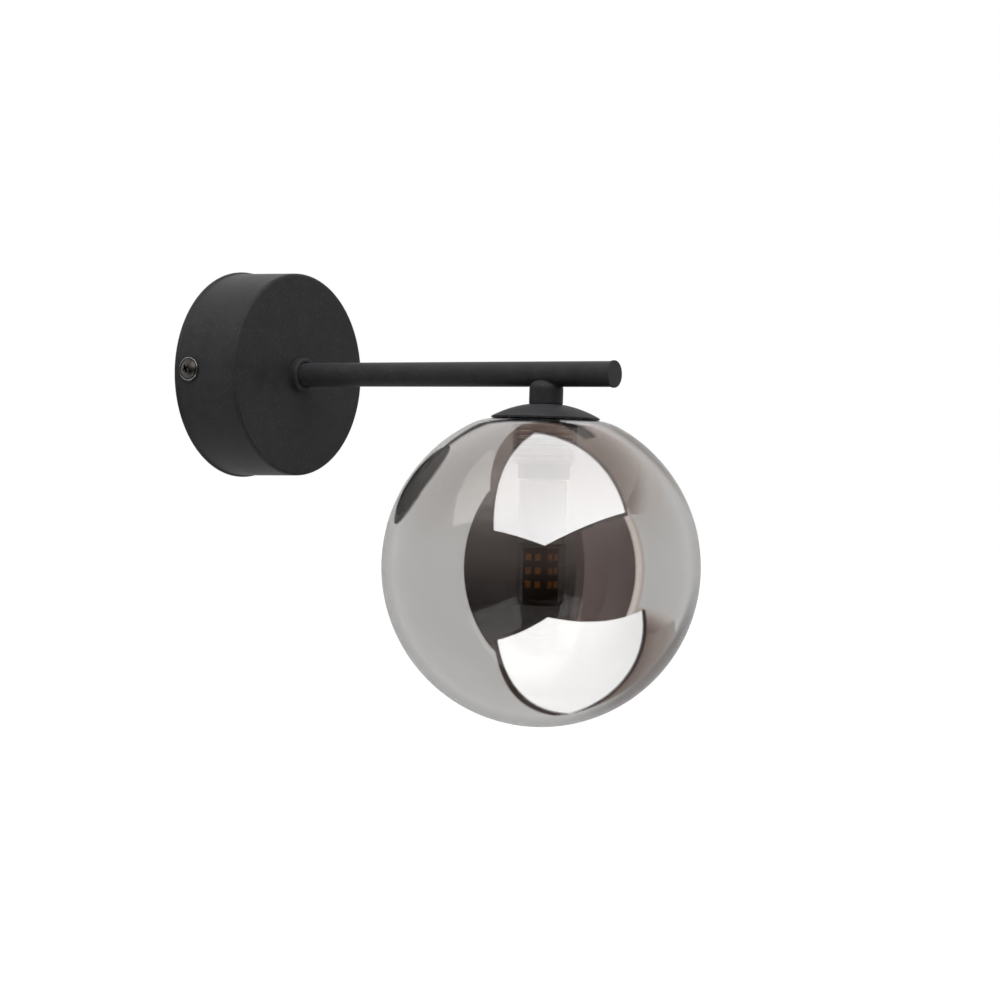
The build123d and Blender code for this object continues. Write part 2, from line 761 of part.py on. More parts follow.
capacitor_depth = drop_depth + board_thick / 2 + capacitor_radius
capacitor_place = Plane((0, -capacitor_depth, lamp_base_top + capacitor_stand))
with BuildPart() as driver_capacitor:
    with BuildSketch(capacitor_place):
        Circle(capacitor_radius)
    extrude(amount=capacitor_length)
    fillet(driver_capacitor.edges().filter_by(GeomType.CIRCLE), capacitor_round)

with BuildPart() as led_boards:
    with BuildSketch(level(housing_end)):
        for side in (1, -1):
            with Locations((side * (tower_side - board_thickness) / 2, 0)):
                Rectangle(board_thickness, tower_side)
    extrude(amount=-tower_length)
    with BuildSketch(level(housing_end)):
        for side in (1, -1):
            with Locations((0, side * (tower_side - board_thickness) / 2)):
                Rectangle(tower_side - 2 * (board_thickness + thread_gap), board_thickness)
    extrude(amount=-tower_length)

with BuildPart() as led_end_board:
    with BuildSketch(level(tower_end)):
        Rectangle(tower_side, tower_side)
    extrude(amount=-board_thickness)

chip_middle = housing_end - chip_first_row - chip_row_pitch
with BuildPart() as led_chips:
    for turn in range(4):
        outward = Vector(1, 0, 0).rotate(Axis.Z, 90 * turn)
        face_middle = Vector(0, -drop_depth, chip_middle) + outward * tower_side / 2
        with BuildSketch(Plane(origin=face_middle, x_dir=(0, 0, 1), z_dir=outward)):
            with GridLocations(chip_row_pitch, chip_column_pitch, chip_rows, chip_columns):
                Rectangle(chip_side, chip_side)
        extrude(amount=chip_thickness)

with BuildPart() as lamp_cover:
    with BuildSketch(drop_plane):
        with BuildLine():
            Polyline((0, cover_end), (housing_radius, cover_end), (housing_radius, cover_top),
                     (housing_radius - cover_wall, cover_top),
                     (housing_radius - cover_wall, cover_end + cover_wall), (0, cover_end + cover_wall),
                     close=True)
        section = make_face()
        inner_corner = (housing_radius - cover_wall, cover_end + cover_wall)
        fillet(section.vertices().sort_by_distance((housing_radius, cover_end))[0], cover_end_round)
        fillet(section.vertices().sort_by_distance(inner_corner)[0], cover_end_round - cover_wall)
    revolve(axis=drop_axis)

# --- Wires: from the terminal block through the nipple and the tube, and down through the neck ---

nipple_entry = nipple_depth - wire_entry
wire_end = block_top - wire_hole_depth + wire_end_gap
block_exit = block_height + block_tall / 2
wire_foot = block_exit - wire_entry


def lamp_wire(pole, side):
    """A wire from a pole of the block to the lampholder, on one side of the tube."""
    points = [(pole, -pole_depth, wire_foot), (pole, -pole_depth, block_exit + 2 * wire_entry),
              (side * wire_offset, -nipple_entry + wire_entry, 0), (side * wire_offset, -drop_depth, 0),
              (side * wire_offset, -drop_depth, wire_end)]
    return wire(points, lamp_wire_bends)


live_wire = lamp_wire(-pole_spacing, -1)
neutral_wire = lamp_wire(0, 1)

tag_entry = tag_barrel_top - tag_barrel_length / 2
bow_side, bow_out = earth_wire_bow
earth_wire = wire([(pole_spacing, -pole_depth, wire_foot),
                   (pole_spacing, -pole_depth, block_exit + wire_entry),
                   (pole_spacing + bow_side, -pole_depth - bow_out, 0),
                   (earth_x, -tag_barrel_depth, tag_entry - 1.5 * wire_entry),
                   (earth_x, -tag_barrel_depth, tag_entry)], earth_wire_bends)

pieces = {
    "canopy": canopy, "wall_plate": wall_plate, "ear_nuts": ear_nuts, "canopy_screws": canopy_screws,
    "cable_grommet": cable_grommet, "terminal_block": terminal_block, "terminal_tubes": terminal_tubes,
    "terminal_screws": terminal_screws, "block_screw": block_screw, "earth_tag": earth_tag,
    "earth_washer": earth_washer, "earth_screw": earth_screw, "earth_wire": earth_wire,
    "live_wire": live_wire, "neutral_wire": neutral_wire, "arm_collar": arm_collar,
    "arm_nipple": arm_nipple, "arm_nut": arm_nut, "arm_lock_washer": arm_lock_washer, "arm_tube": arm_tube,
    "arm_plug": arm_plug, "neck": neck, "neck_nipple": neck_nipple, "shade_cap": shade_cap,
    "holder_nut": holder_nut, "holder_body": holder_body, "contact_block": contact_block,
    "holder_shell": holder_shell, "centre_contact": centre_contact, "side_contact": side_contact,
    "globe_gasket": globe_gasket, "globe": globe, "lamp_shell": lamp_shell,
    "lamp_insulator": lamp_insulator, "lamp_tip": lamp_tip, "lamp_housing": lamp_housing,
    "lamp_base": lamp_base, "driver_board": driver_board, "driver_capacitor": driver_capacitor,
    "led_boards": led_boards, "led_end_board": led_end_board, "led_chips": led_chips,
    "lamp_cover": lamp_cover,
}

os.makedirs("parts", exist_ok=True)
for name, piece in pieces.items():
    piece.part.label = name
    export_step(piece.part, f"parts/{name}.step")
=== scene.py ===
import bpy
import math
from mathutils import Matrix, Vector


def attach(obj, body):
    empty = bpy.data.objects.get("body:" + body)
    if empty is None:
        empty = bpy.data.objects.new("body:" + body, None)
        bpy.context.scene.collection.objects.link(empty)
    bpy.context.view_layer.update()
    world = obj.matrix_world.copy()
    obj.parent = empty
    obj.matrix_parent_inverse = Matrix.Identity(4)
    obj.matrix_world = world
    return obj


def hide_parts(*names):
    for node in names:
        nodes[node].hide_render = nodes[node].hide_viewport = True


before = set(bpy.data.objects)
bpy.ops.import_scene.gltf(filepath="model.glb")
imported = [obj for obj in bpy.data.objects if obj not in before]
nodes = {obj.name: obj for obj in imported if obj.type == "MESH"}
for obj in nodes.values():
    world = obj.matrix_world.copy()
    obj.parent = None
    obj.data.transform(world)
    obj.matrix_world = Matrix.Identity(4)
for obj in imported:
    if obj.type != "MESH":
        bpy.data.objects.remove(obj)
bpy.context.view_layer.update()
scene = bpy.context.scene
scene.view_settings.view_transform = "Standard"
mm = 0.001  # all sizes below are in mm and become metres by this
fullTurn = 2 * math.pi
dropAxis = Vector((0, -186.2, 0))  # the upright line through globe, lampholder and lamp
upward = Vector((0, 0, 1))
sideways = Vector((1, 0, 0))
print("frame loaded:", len(nodes), "CAD nodes")


# Camera: where the photograph was taken from, with a small tilt
photoCamera = {
    "place": (-859.461, -740.383, -50.790),
    "azimuth": -56.055,
    "elevation": 0.503,
    "tilt": 1.749,
    "lens": 78.311,
    "sensor": 36,
    "clip": (10, 60000),
}


def addCamera(look):
    azimuth, elevation, tilt = (math.radians(look[key]) for key in ("azimuth", "elevation", "tilt"))
    back = Vector((math.sin(azimuth) * math.cos(elevation), -math.cos(azimuth) * math.cos(elevation),
                   math.sin(elevation)))
    right = (-back).cross(upward).normalized()
    up = right.cross(-back)
    rightTilted = right * math.cos(tilt) + up * math.sin(tilt)
    upTilted = up * math.cos(tilt) - right * math.sin(tilt)
    data = bpy.data.cameras.new("photoCamera")
    data.lens = look["lens"]
    data.sensor_width = look["sensor"]
    data.clip_start, data.clip_end = (distance * mm for distance in look["clip"])
    camera = bpy.data.objects.new("photoCamera", data)
    scene.collection.objects.link(camera)
    camera.matrix_world = Matrix.Translation(Vector(look["place"]) * mm) @ Matrix(
        (rightTilted, upTilted, back)).transposed().to_4x4()
    scene.camera = camera


addCamera(photoCamera)


def startClean():
    if bpy.context.mode != "OBJECT":
        bpy.ops.object.mode_set(mode="OBJECT")
    bpy.ops.object.select_all(action="DESELECT")


def selectOnly(piece):
    startClean()
    bpy.context.view_layer.objects.active = piece
    piece.select_set(True)


# Small helpers for node materials
patchLow, patchHigh = 0.3, 0.7  # noise values at which a pattern's low and high patches are full


def addNode(tree, kind, **settings):
    node = tree.nodes.new("ShaderNode" + kind)
    for key, value in settings.items():
        setattr(node, key, value)
    return node


def setInputs(node, **values):
    for key, value in values.items():
        node.inputs[key.replace("_", " ")].default_value = value


def grey(value):
    return (value, value, value, 1.0)


def newMaterial(name):
    material = bpy.data.materials.new(name)
    material.use_nodes = True
    return material, material.node_tree, material.node_tree.nodes["Principled BSDF"]


def newGlow(name):
    # a material that only gives light, for what the glass mirrors
    material = bpy.data.materials.new(name)
    material.use_nodes = True
    tree = material.node_tree
    tree.nodes.clear()
    glow = addNode(tree, "Emission")
    output = addNode(tree, "OutputMaterial")
    tree.links.new(glow.outputs[0], output.inputs["Surface"])
    return material, tree, glow


def objectPlace(tree, stretch=(1, 1, 1), turn=(0, 0, 0)):
    place = addNode(tree, "TexCoord")
    mapping = addNode(tree, "Mapping")
    setInputs(mapping, Rotation=turn, Scale=stretch)
    tree.links.new(place.outputs["Object"], mapping.inputs["Vector"])
    return mapping.outputs["Vector"]


def noise(tree, place, size, detail=3.0, rough=0.55):
    # size is the width of one patch of the pattern, in mm
    node = addNode(tree, "TexNoise")
    setInputs(node, Scale=1 / (size * mm), Detail=detail, Roughness=rough)
    tree.links.new(place, node.inputs["Vector"])
    return node.outputs["Fac"]


def spread(tree, value, low, high, fromLow=patchLow, fromHigh=patchHigh):
    node = addNode(tree, "MapRange")
    for index, number in enumerate((fromLow, fromHigh, low, high), start=1):
        node.inputs[index].default_value = number
    tree.links.new(value, node.inputs[0])
    return node.outputs[0]


def ramp(tree, value, *stops):
    node = addNode(tree, "ValToRGB")
    steps = node.color_ramp.elements
    while len(steps) < len(stops):
        steps.new(0.5)
    for step, (position, colour) in zip(steps, stops):
        step.position = position
        step.color = (*colour, 1.0)
    tree.links.new(value, node.inputs[0])
    return node.outputs[0]


def twoTones(tree, pattern, first, second):
    return ramp(tree, pattern, (patchLow, first), (patchHigh, second))


def addTogether(tree, first, second):
    adder = addNode(tree, "Math", operation="ADD", use_clamp=True)
    tree.links.new(first, adder.inputs[0])
    tree.links.new(second, adder.inputs[1])
    return adder.outputs[0]


def blendColours(tree, share, first, second):
    node = addNode(tree, "Mix", data_type="RGBA")
    tree.links.new(share, node.inputs[0])
    for socket, colour in ((node.inputs[6], first), (node.inputs[7], second)):
        if isinstance(colour, tuple):
            socket.default_value = (*colour, 1.0)
        else:
            tree.links.new(colour, socket)
    return node.outputs[2]


def bumpFrom(tree, height, depth, shader):
    # depth is the height of the relief, in mm
    node = addNode(tree, "Bump")
    setInputs(node, Strength=1.0, Distance=depth * mm)
    tree.links.new(height, node.inputs["Height"])
    tree.links.new(node.outputs["Normal"], shader.inputs["Normal"])


# Studio: white surroundings, a pale floor, three soft lamps, and the cards that the glass reflects
studio = {
    "ambient": 0.32,
    "floorHeight": -620.0,
    "floorSize": 40000.0,
    "floorColour": 0.86,
    "floorDrift": 0.02,
    "floorCloud": 90.0,
    "floorRough": 0.9,
    "floorSpecular": 0.1,
    "floorGlow": 0.80,
    "lampAim": (0, -150, -50),
    "upperLampPower": 17.0,
    "upperLampPlace": (-220, -220, 760),
    "upperLampSize": (1100, 1400),
    "lowerLampPower": 0.9,
    "lowerLampPlace": (-283, -541, -560),
    "lowerLampSize": (800, 1000),
    "rearLampPower": 1.6,
    "rearLampPlace": (700, 300, 500),
    "rearLampSize": (1000, 1000),
}


def seenStrength(tree, unseen, seen):
    # the second strength for rays of the camera, of reflections and through glass, the first for all others
    path = addNode(tree, "LightPath")
    total = addTogether(tree, path.outputs["Is Camera Ray"], path.outputs["Is Glossy Ray"])
    total = addTogether(tree, total, path.outputs["Is Transmission Ray"])
    return spread(tree, total, unseen, seen, 0.0, 1.0)


def addSurroundings(look):
    world = bpy.data.worlds.new("studioWorld")
    world.use_nodes = True
    scene.world = world
    tree = world.node_tree
    background = tree.nodes["Background"]
    background.inputs["Color"].default_value = grey(1.0)
    tree.links.new(seenStrength(tree, look["ambient"], 1.0), background.inputs["Strength"])

    bpy.ops.mesh.primitive_plane_add(size=look["floorSize"] * mm, location=(0, 0, look["floorHeight"] * mm))
    floor = bpy.context.object
    floor.name = floor.data.name = "floor"
    material, tree, shader = newMaterial("paleFloor")
    tone = look["floorColour"]
    pattern = noise(tree, objectPlace(tree), look["floorCloud"])
    tree.links.new(twoTones(tree, pattern, (tone,) * 3, (tone + look["floorDrift"],) * 3),
                   shader.inputs["Base Color"])
    setInputs(shader, Roughness=look["floorRough"], Specular_IOR_Level=look["floorSpecular"],
              Emission_Color=grey(1.0))
    tree.links.new(seenStrength(tree, 0.0, look["floorGlow"]), shader.inputs["Emission Strength"])
    floor.data.materials.append(material)
    floor.visible_glossy = floor.visible_transmission = False


def addLamp(name, place, size, power, aim):
    data = bpy.data.lights.new(name, "AREA")
    data.shape = "RECTANGLE"
    data.size, data.size_y = (side * mm for side in size)
    data.energy = power
    lamp = bpy.data.objects.new(name, data)
    scene.collection.objects.link(lamp)
    place = Vector(place) * mm
    lamp.matrix_world = Matrix.Translation(place) @ (place - Vector(aim) * mm).to_track_quat(
        "Z", "Y").to_matrix().to_4x4()
    lamp.visible_camera = lamp.visible_glossy = lamp.visible_transmission = False


def addCard(name, corners, stops, start=(0, 0, 0), end=(0, 0, 1000)):
    # a flat panel that only reflections and glass see; its tone changes from the start to the end point
    bpy.ops.mesh.primitive_plane_add(size=1)
    card = bpy.context.object
    card.name = card.data.name = name
    for vertex, corner in zip(card.data.vertices, (corners[0], corners[1], corners[3], corners[2])):
        vertex.co = Vector(corner) * mm
    material, tree, glow = newGlow(name + "Tone")
    run = Vector(end) - Vector(start)
    along = addNode(tree, "VectorMath", operation="DOT_PRODUCT")
    tree.links.new(objectPlace(tree), along.inputs[0])
    along.inputs[1].default_value = run / run.length_squared / mm
    offset = Vector(start).dot(run) / run.length_squared
    share = spread(tree, along.outputs["Value"], 0.0, 1.0, offset, offset + 1)
    brightest = max(max(tone) for where, tone in stops)
    scaled = [(where, tuple(part / brightest for part in tone)) for where, tone in stops]
    tree.links.new(ramp(tree, share, *scaled), glow.inputs["Color"])
    glow.inputs["Strength"].default_value = brightest
    card.data.materials.append(material)
    card.visible_camera = card.visible_diffuse = card.visible_shadow = False


# what the glass mirrors: two softboxes in dark frames, a bright panel behind, and a dark room with its
# ceiling, its floor and two pale strips
cards = {
    "upperSoftbox": dict(corners=((-1266, -104, 495), (-1219, -1047, 361), (203, -988, 461),
                                  (177, -10, 602)),
                         stops=((0.0, (2.16, 2.19, 2.27)), (0.5, (2.46, 2.50, 2.58)),
                                (1.0, (2.72, 2.77, 2.87))),
                         start=(-1240, -500, 430), end=(190, -500, 530)),
    "upperFrame": dict(corners=((-1285, -78, 508), (-1236, -1100, 364), (250, -1062, 468), (208, 10, 615)),
                       stops=((0.0, (0.07, 0.05, 0.045)), (1.0, (0.09, 0.065, 0.06)))),
    "lowerSoftbox": dict(corners=((-942, -71, -1164), (-1009, -1017, -927), (365, -1028, -443),
                                  (454, -50, -681)),
                         stops=((0.0, (2.36, 2.40, 2.45)), (0.45, (2.5, 2.52, 2.54)),
                                (1.0, (1.90, 1.92, 1.96))),
                         start=(-900, -500, -1000), end=(400, -500, -500)),
    "lowerFrame": dict(corners=((-1000, -12, -1203), (-1070, -1050, -954), (428, -1062, -444),
                                (530, 22, -706)),
                       stops=((0.0, (0.07, 0.05, 0.045)), (1.0, (0.12, 0.09, 0.08)))),
    "rearPanel": dict(corners=((-1846, 1293, 888), (-26, 1068, 2123), (-700, 300, 2300), (-2150, 500, 1200)),
                      stops=((0.0, (1.34, 1.34, 1.34)), (1.0, (1.22, 1.21, 1.2))),
                      start=(-1846, 1293, 888), end=(-26, 1068, 2123)),
    "roomSide": dict(corners=((-1386, 460, 1709), (-1386, 310, -1891), (-1386, -2350, -1891),
                              (-1386, -2350, 1709)),
                     stops=((0.0, (0.02, 0.012, 0.01)), (0.10, (0.012, 0.008, 0.007)),
                            (0.26, (0.006, 0.004, 0.003)), (0.37, (0.02, 0.013, 0.011)),
                            (0.49, (0.066, 0.05, 0.046)), (0.7, (0.088, 0.066, 0.058)),
                            (1.0, (0.11, 0.082, 0.072))),
                     start=(0, 0, -1500), end=(0, 0, 1700)),
    "roomFront": dict(corners=((-1386, -2350, 1709), (-1386, -2350, -1891), (-1090, -2350, -1891),
                               (-1090, -2350, 1709)),
                      stops=((0.0, (0.085, 0.062, 0.056)), (1.0, (0.10, 0.062, 0.056))),
                      start=(0, 0, -1000), end=(0, 0, 600)),
    "roomPanel": dict(corners=((-1090, -2350, 1709), (-1090, -2350, -1891), (500, -2350, -1891),
                               (500, -2350, 1709)),
                      stops=((0.0, (0.218, 0.16, 0.152)), (1.0, (0.145, 0.103, 0.095))),
                      start=(-1090, -2350, 0), end=(500, -2350, 0)),
    "brightStrip": dict(corners=((500, -2350, 1709), (500, -2350, -1891), (760, -2350, -1891),
                                 (760, -2350, 1709)),
                        stops=((0.0, (0.98, 0.86, 0.82)), (0.35, (1.26, 1.16, 1.10)),
                               (0.75, (1.16, 1.05, 1.0)), (1.0, (0.95, 0.84, 0.80))),
                        start=(500, -2350, 0), end=(760, -2350, 0)),
    "thinStrip": dict(corners=((760, -2350, 1709), (760, -2350, -1891), (840, -2350, -1891),
                               (840, -2350, 1709)),
                      stops=((0.0, (0.78, 0.66, 0.62)), (1.0, (0.95, 0.86, 0.82))),
                      start=(760, -2350, 0), end=(840, -2350, 0)),
    "ceiling": dict(corners=((-1386, 425, 1709), (-1386, -2350, 1709), (840, -2350, 1709),
                             (3800, 1250, 1709)),
                    stops=((0.0, (0.17, 0.12, 0.105)), (0.46, (0.30, 0.22, 0.19)),
                           (0.62, (0.45, 0.36, 0.32)), (0.80, (0.70, 0.61, 0.58)),
                           (1.0, (0.98, 0.93, 0.91))),
                    start=(-1386, -300, 1709), end=(2300, -1369, 1709)),
    "ceilingFront": dict(corners=((840, -2350, 1709), (840, -2900, 1709), (3400, -2900, 1709),
                                  (3800, 1250, 1709)),
                         stops=((0.0, (0.33, 0.25, 0.22)), (0.35, (0.52, 0.43, 0.39)),
                                (0.65, (0.80, 0.72, 0.69)), (1.0, (1.0, 0.96, 0.94))),
                         start=(840, -2000, 1709), end=(2050, -2350, 1709)),
    "studioFloor": dict(corners=((-1386, 150, -1891), (-1386, -2350, -1891), (5200, -2350, -1891),
                                 (5200, 700, -1891)),
                        stops=((0.0, (0.10, 0.07, 0.065)), (0.47, (0.28, 0.21, 0.185)),
                               (0.66, (0.52, 0.44, 0.41)), (0.82, (0.58, 0.50, 0.47)),
                               (1.0, (0.66, 0.62, 0.60))),
                        start=(-1386, 0, -1891), end=(5000, 0, -1891)),
    "floorCorner": dict(corners=((-1386, 310, -1891), (-1386, 140, -1891), (-1028, 130, -1891),
                                 (-1150, 190, -1891)),
                        stops=((0.0, (0.10, 0.07, 0.065)), (1.0, (0.12, 0.09, 0.08)))),
    "floorBack": dict(corners=((2300, 440, -1891), (5200, 700, -1891), (5200, 2300, -1891),
                               (4400, 1900, -1891)),
                      stops=((0.0, (0.42, 0.41, 0.415)), (0.4, (0.50, 0.49, 0.50)),
                             (0.8, (0.62, 0.62, 0.62)), (1.0, (0.92, 0.92, 0.92))),
                      start=(4500, 700, -1891), end=(4700, 2100, -1891)),
    "floorFront": dict(corners=((840, -2350, -1891), (840, -4700, -1891), (5200, -4700, -1891),
                                (5200, -2350, -1891)),
                       stops=((0.0, (0.22, 0.16, 0.14)), (0.30, (0.36, 0.29, 0.26)),
                              (0.50, (0.60, 0.51, 0.47)), (0.72, (0.92, 0.83, 0.80)),
                              (0.88, (1.0, 0.97, 0.96))),
                       start=(1300, -2350, -1891), end=(3300, -4700, -1891)),
}

addSurroundings(studio)
for side in ("upper", "lower", "rear"):
    addLamp(side + "Lamp", studio[side + "LampPlace"], studio[side + "LampSize"],
            studio[side + "LampPower"], studio["lampAim"])
for cardName, cardLook in cards.items():
    addCard(cardName, **cardLook)

# behind the globe a round screen, pale in the middle and greyer where the edge of the glass mirrors it
rearScreen = {
    "globeMiddle": -90.64,
    "distance": 300.0,
    "radius": 400.0,
    "stops": ((0.0, (0.95, 0.94, 0.94)), (0.17, (0.94, 0.93, 0.93)), (0.19, (0.62, 0.62, 0.62)),
              (0.50, (0.60, 0.60, 0.60)), (0.66, (0.71, 0.71, 0.71)), (0.82, (0.84, 0.84, 0.84)),
              (1.0, (0.97, 0.97, 0.97))),
    # two darker rounds: how far right and up of the screen's middle from the camera, radius, colour
    "shades": ((215.0, -200.0, 190.0, (0.40, 0.385, 0.38)), (146.0, 171.0, 115.0, (0.42, 0.40, 0.39))),
    "shadeCore": 0.45,
    "corners": 64,
}


def addRearScreen(look):
    globeMiddle = (dropAxis + upward * look["globeMiddle"]) * mm
    away = (globeMiddle - scene.camera.matrix_world.translation).normalized()
    centre = globeMiddle + away * (look["distance"] * mm)
    startClean()
    bpy.ops.mesh.primitive_circle_add(vertices=look["corners"], radius=look["radius"] * mm, fill_type="NGON")
    screen = bpy.context.object
    screen.name = screen.data.name = "rearScreen"
    screen.data.transform(Matrix.Translation(centre) @ (-away).to_track_quat("Z", "Y").to_matrix().to_4x4())
    material, tree, glow = newGlow("rearScreenTone")
    reach = addNode(tree, "VectorMath", operation="DISTANCE")
    tree.links.new(objectPlace(tree), reach.inputs[0])
    reach.inputs[1].default_value = centre
    share = spread(tree, reach.outputs["Value"], 0.0, 1.0, 0.0, look["radius"] * mm)
    tone = ramp(tree, share, *look["stops"])
    viewRight, viewUp = (scene.camera.matrix_world.to_3x3().col[index] for index in (0, 1))
    for across, above, radius, shade in look["shades"]:
        near = addNode(tree, "VectorMath", operation="DISTANCE")
        tree.links.new(objectPlace(tree), near.inputs[0])
        near.inputs[1].default_value = centre + (viewRight * across + viewUp * above) * mm
        share = spread(tree, near.outputs["Value"], 1.0, 0.0, radius * look["shadeCore"] * mm, radius * mm)
        tone = blendColours(tree, share, tone, shade)
    tree.links.new(tone, glow.inputs["Color"])
    screen.data.materials.append(material)
    screen.visible_camera = screen.visible_diffuse = screen.visible_shadow = False


addRearScreen(rearScreen)
print("studio ready")


# Finishes: two tones that drift over the surface, a range of roughness, and a fine relief
speckEdge = 0.06  # how softly a speck ends, as a step of its noise
finishes = {
    "powderCoat": dict(tones=((0.022, 0.022, 0.0235), (0.028, 0.028, 0.0295)), cloud=7, rough=(0.38, 0.47),
                       grain=0.4, relief=0.028, specular=0.08, specks=(0.5, 0.77, (0.08, 0.08, 0.083))),
    "zincPlate": dict(tones=((0.50, 0.51, 0.53), (0.66, 0.66, 0.64)), cloud=3.5, rough=(0.28, 0.46),
                      grain=0.6, relief=0.008, metal=1.0),
    "blackNickel": dict(tones=((0.045, 0.042, 0.039), (0.095, 0.087, 0.08)), cloud=1.2, rough=(0.30, 0.42),
                        grain=0.25, relief=0.004, metal=1.0),
    # a lighter nickel for the screw flange's rim: partly wear, partly a painted highlight
    "wornNickelWithHighlight": dict(tones=((0.20, 0.195, 0.185), (0.36, 0.35, 0.33)), cloud=2.0, rough=(0.22, 0.34),
                       grain=0.25, relief=0.004, metal=1.0),
    "softRubber": dict(tones=((0.022, 0.022, 0.022), (0.034, 0.034, 0.033)), cloud=2, rough=(0.62, 0.75),
                       grain=0.3, relief=0.01),
    "blockNylon": dict(tones=((0.78, 0.77, 0.73), (0.84, 0.83, 0.79)), cloud=6, rough=(0.36, 0.5),
                       grain=0.5, relief=0.006, glowThrough=0.08),
    "brass": dict(tones=((0.70, 0.50, 0.20), (0.82, 0.62, 0.30)), cloud=2.5, rough=(0.22, 0.38),
                  grain=0.4, relief=0.004, metal=1.0),
    "tinnedCopper": dict(tones=((0.60, 0.58, 0.54), (0.74, 0.72, 0.68)), cloud=1.5, rough=(0.3, 0.5),
                         grain=0.3, relief=0.01, metal=1.0),
    "brownInsulation": dict(tones=((0.13, 0.055, 0.022), (0.18, 0.075, 0.032)), cloud=5, rough=(0.38, 0.48),
                            grain=0.5, relief=0.006),
    "blueInsulation": dict(tones=((0.02, 0.10, 0.40), (0.03, 0.14, 0.50)), cloud=5, rough=(0.38, 0.48),
                           grain=0.5, relief=0.006),
    "holderPlastic": dict(tones=((0.020, 0.018, 0.017), (0.032, 0.029, 0.027)), cloud=4, rough=(0.3, 0.42),
                          grain=0.5, relief=0.005),
    "glazedCeramic": dict(tones=((0.80, 0.79, 0.74), (0.86, 0.85, 0.81)), cloud=5, rough=(0.10, 0.2),
                          grain=1.2, relief=0.01, coat=0.5),
    "lampNickel": dict(tones=((0.62, 0.60, 0.56), (0.75, 0.73, 0.69)), cloud=2, rough=(0.14, 0.26),
                       grain=0.5, relief=0.003, metal=1.0),
    "blackVitrite": dict(tones=((0.012, 0.012, 0.016), (0.022, 0.022, 0.028)), cloud=2, rough=(0.06, 0.14),
                         grain=1.0, relief=0.01),
    "solder": dict(tones=((0.50, 0.50, 0.50), (0.66, 0.66, 0.65)), cloud=0.8, rough=(0.3, 0.5),
                   grain=0.7, relief=0.05, metal=1.0),
    "lampPlastic": dict(tones=((0.80, 0.80, 0.77), (0.85, 0.85, 0.83)), cloud=8, rough=(0.28, 0.36),
                        grain=0.6, relief=0.004, glowThrough=0.1),
    "aluminium": dict(tones=((0.62, 0.63, 0.65), (0.76, 0.77, 0.78)), cloud=2, rough=(0.3, 0.42),
                      grain=0.2, relief=0.004, metal=1.0, stretch=(1, 8, 1)),
    "chipFrame": dict(tones=((0.50, 0.30, 0.12), (0.60, 0.38, 0.17)), cloud=0.8, rough=(0.45, 0.55),
                      grain=0.15, relief=0.004),
    # the amber phosphor gets a painted glow: it gives off its own colour as light, though the lamp is off
    "amberPhosphor": dict(tones=((0.95, 0.30, 0.012), (1.0, 0.38, 0.03)), cloud=0.5, rough=(0.4, 0.55),
                          grain=0.12, relief=0.01, specular=0.2, paintedGlow=0.24),
}


def makeFinish(name, tones, cloud, rough, grain, relief, metal=0.0, specular=0.5, coat=0.0, coatRough=0.06,
               glowThrough=0.0, glowDepth=1.5, specks=None, paintedGlow=0.0, stretch=(1, 1, 1)):
    material, tree, shader = newMaterial(name)
    place = objectPlace(tree, stretch)
    drift = noise(tree, place, cloud)
    colour = twoTones(tree, drift, *tones)
    if specks:
        speckSize, speckLevel, speckColour = specks
        share = spread(tree, noise(tree, place, speckSize, detail=0.0), 0.0, 1.0, speckLevel,
                       speckLevel + speckEdge)
        colour = blendColours(tree, share, colour, speckColour)
    tree.links.new(colour, shader.inputs["Base Color"])
    tree.links.new(spread(tree, drift, *rough), shader.inputs["Roughness"])
    bumpFrom(tree, noise(tree, place, grain, detail=2.0), relief, shader)
    setInputs(shader, Metallic=metal, Specular_IOR_Level=specular, Coat_Weight=coat,
              Coat_Roughness=coatRough, Subsurface_Weight=glowThrough, Subsurface_Scale=glowDepth * mm,
              Emission_Strength=paintedGlow)
    # painted glow: the surface gives off its own colour as light
    if paintedGlow:
        tree.links.new(colour, shader.inputs["Emission Color"])
    return material


material = {name: makeFinish(name, **look) for name, look in finishes.items()}


# Smoked glass: a clear outer skin, and inside it a thin metal coat that reflects more than it passes
smokedGlass = {
    "outerTone": (0.98, 0.965, 0.95),
    "outerDrift": 0.01,
    "coatBottom": -165.6,
    "coatTop": -15.6,
    "coatTones": ((0.0, (0.455, 0.45, 0.443)), (0.43, (0.46, 0.455, 0.448)), (0.57, (0.49, 0.483, 0.475)),
                  (0.71, (0.505, 0.49, 0.475)), (0.82, (0.505, 0.48, 0.465)), (0.93, (0.54, 0.51, 0.49))),
    "coatMetal": ((0.0, 0.81), (0.43, 0.805), (0.57, 0.74), (0.71, 0.52), (0.82, 0.40), (0.93, 0.36)),
    "coatDrift": 0.025,
    "coatCloud": 70.0,
    "index": 1.5,
    "wave": 34.0,
    "waveHeight": 0.05,
}


def blownGlass(tree, place, shader, look):
    # clear and smooth, with the slow waves of blown glass
    bumpFrom(tree, noise(tree, place, look["wave"], detail=0.0), look["waveHeight"], shader)
    setInputs(shader, Roughness=0.0, IOR=look["index"], Transmission_Weight=1.0)


def makeGlassSkin(look):
    made, tree, shader = newMaterial("glassSkin")
    place = objectPlace(tree)
    lighter = look["outerTone"]
    darker = tuple(part - look["outerDrift"] for part in lighter)
    drift = noise(tree, place, look["coatCloud"], detail=1.0)
    tree.links.new(twoTones(tree, drift, darker, lighter), shader.inputs["Base Color"])
    blownGlass(tree, place, shader, look)
    return made


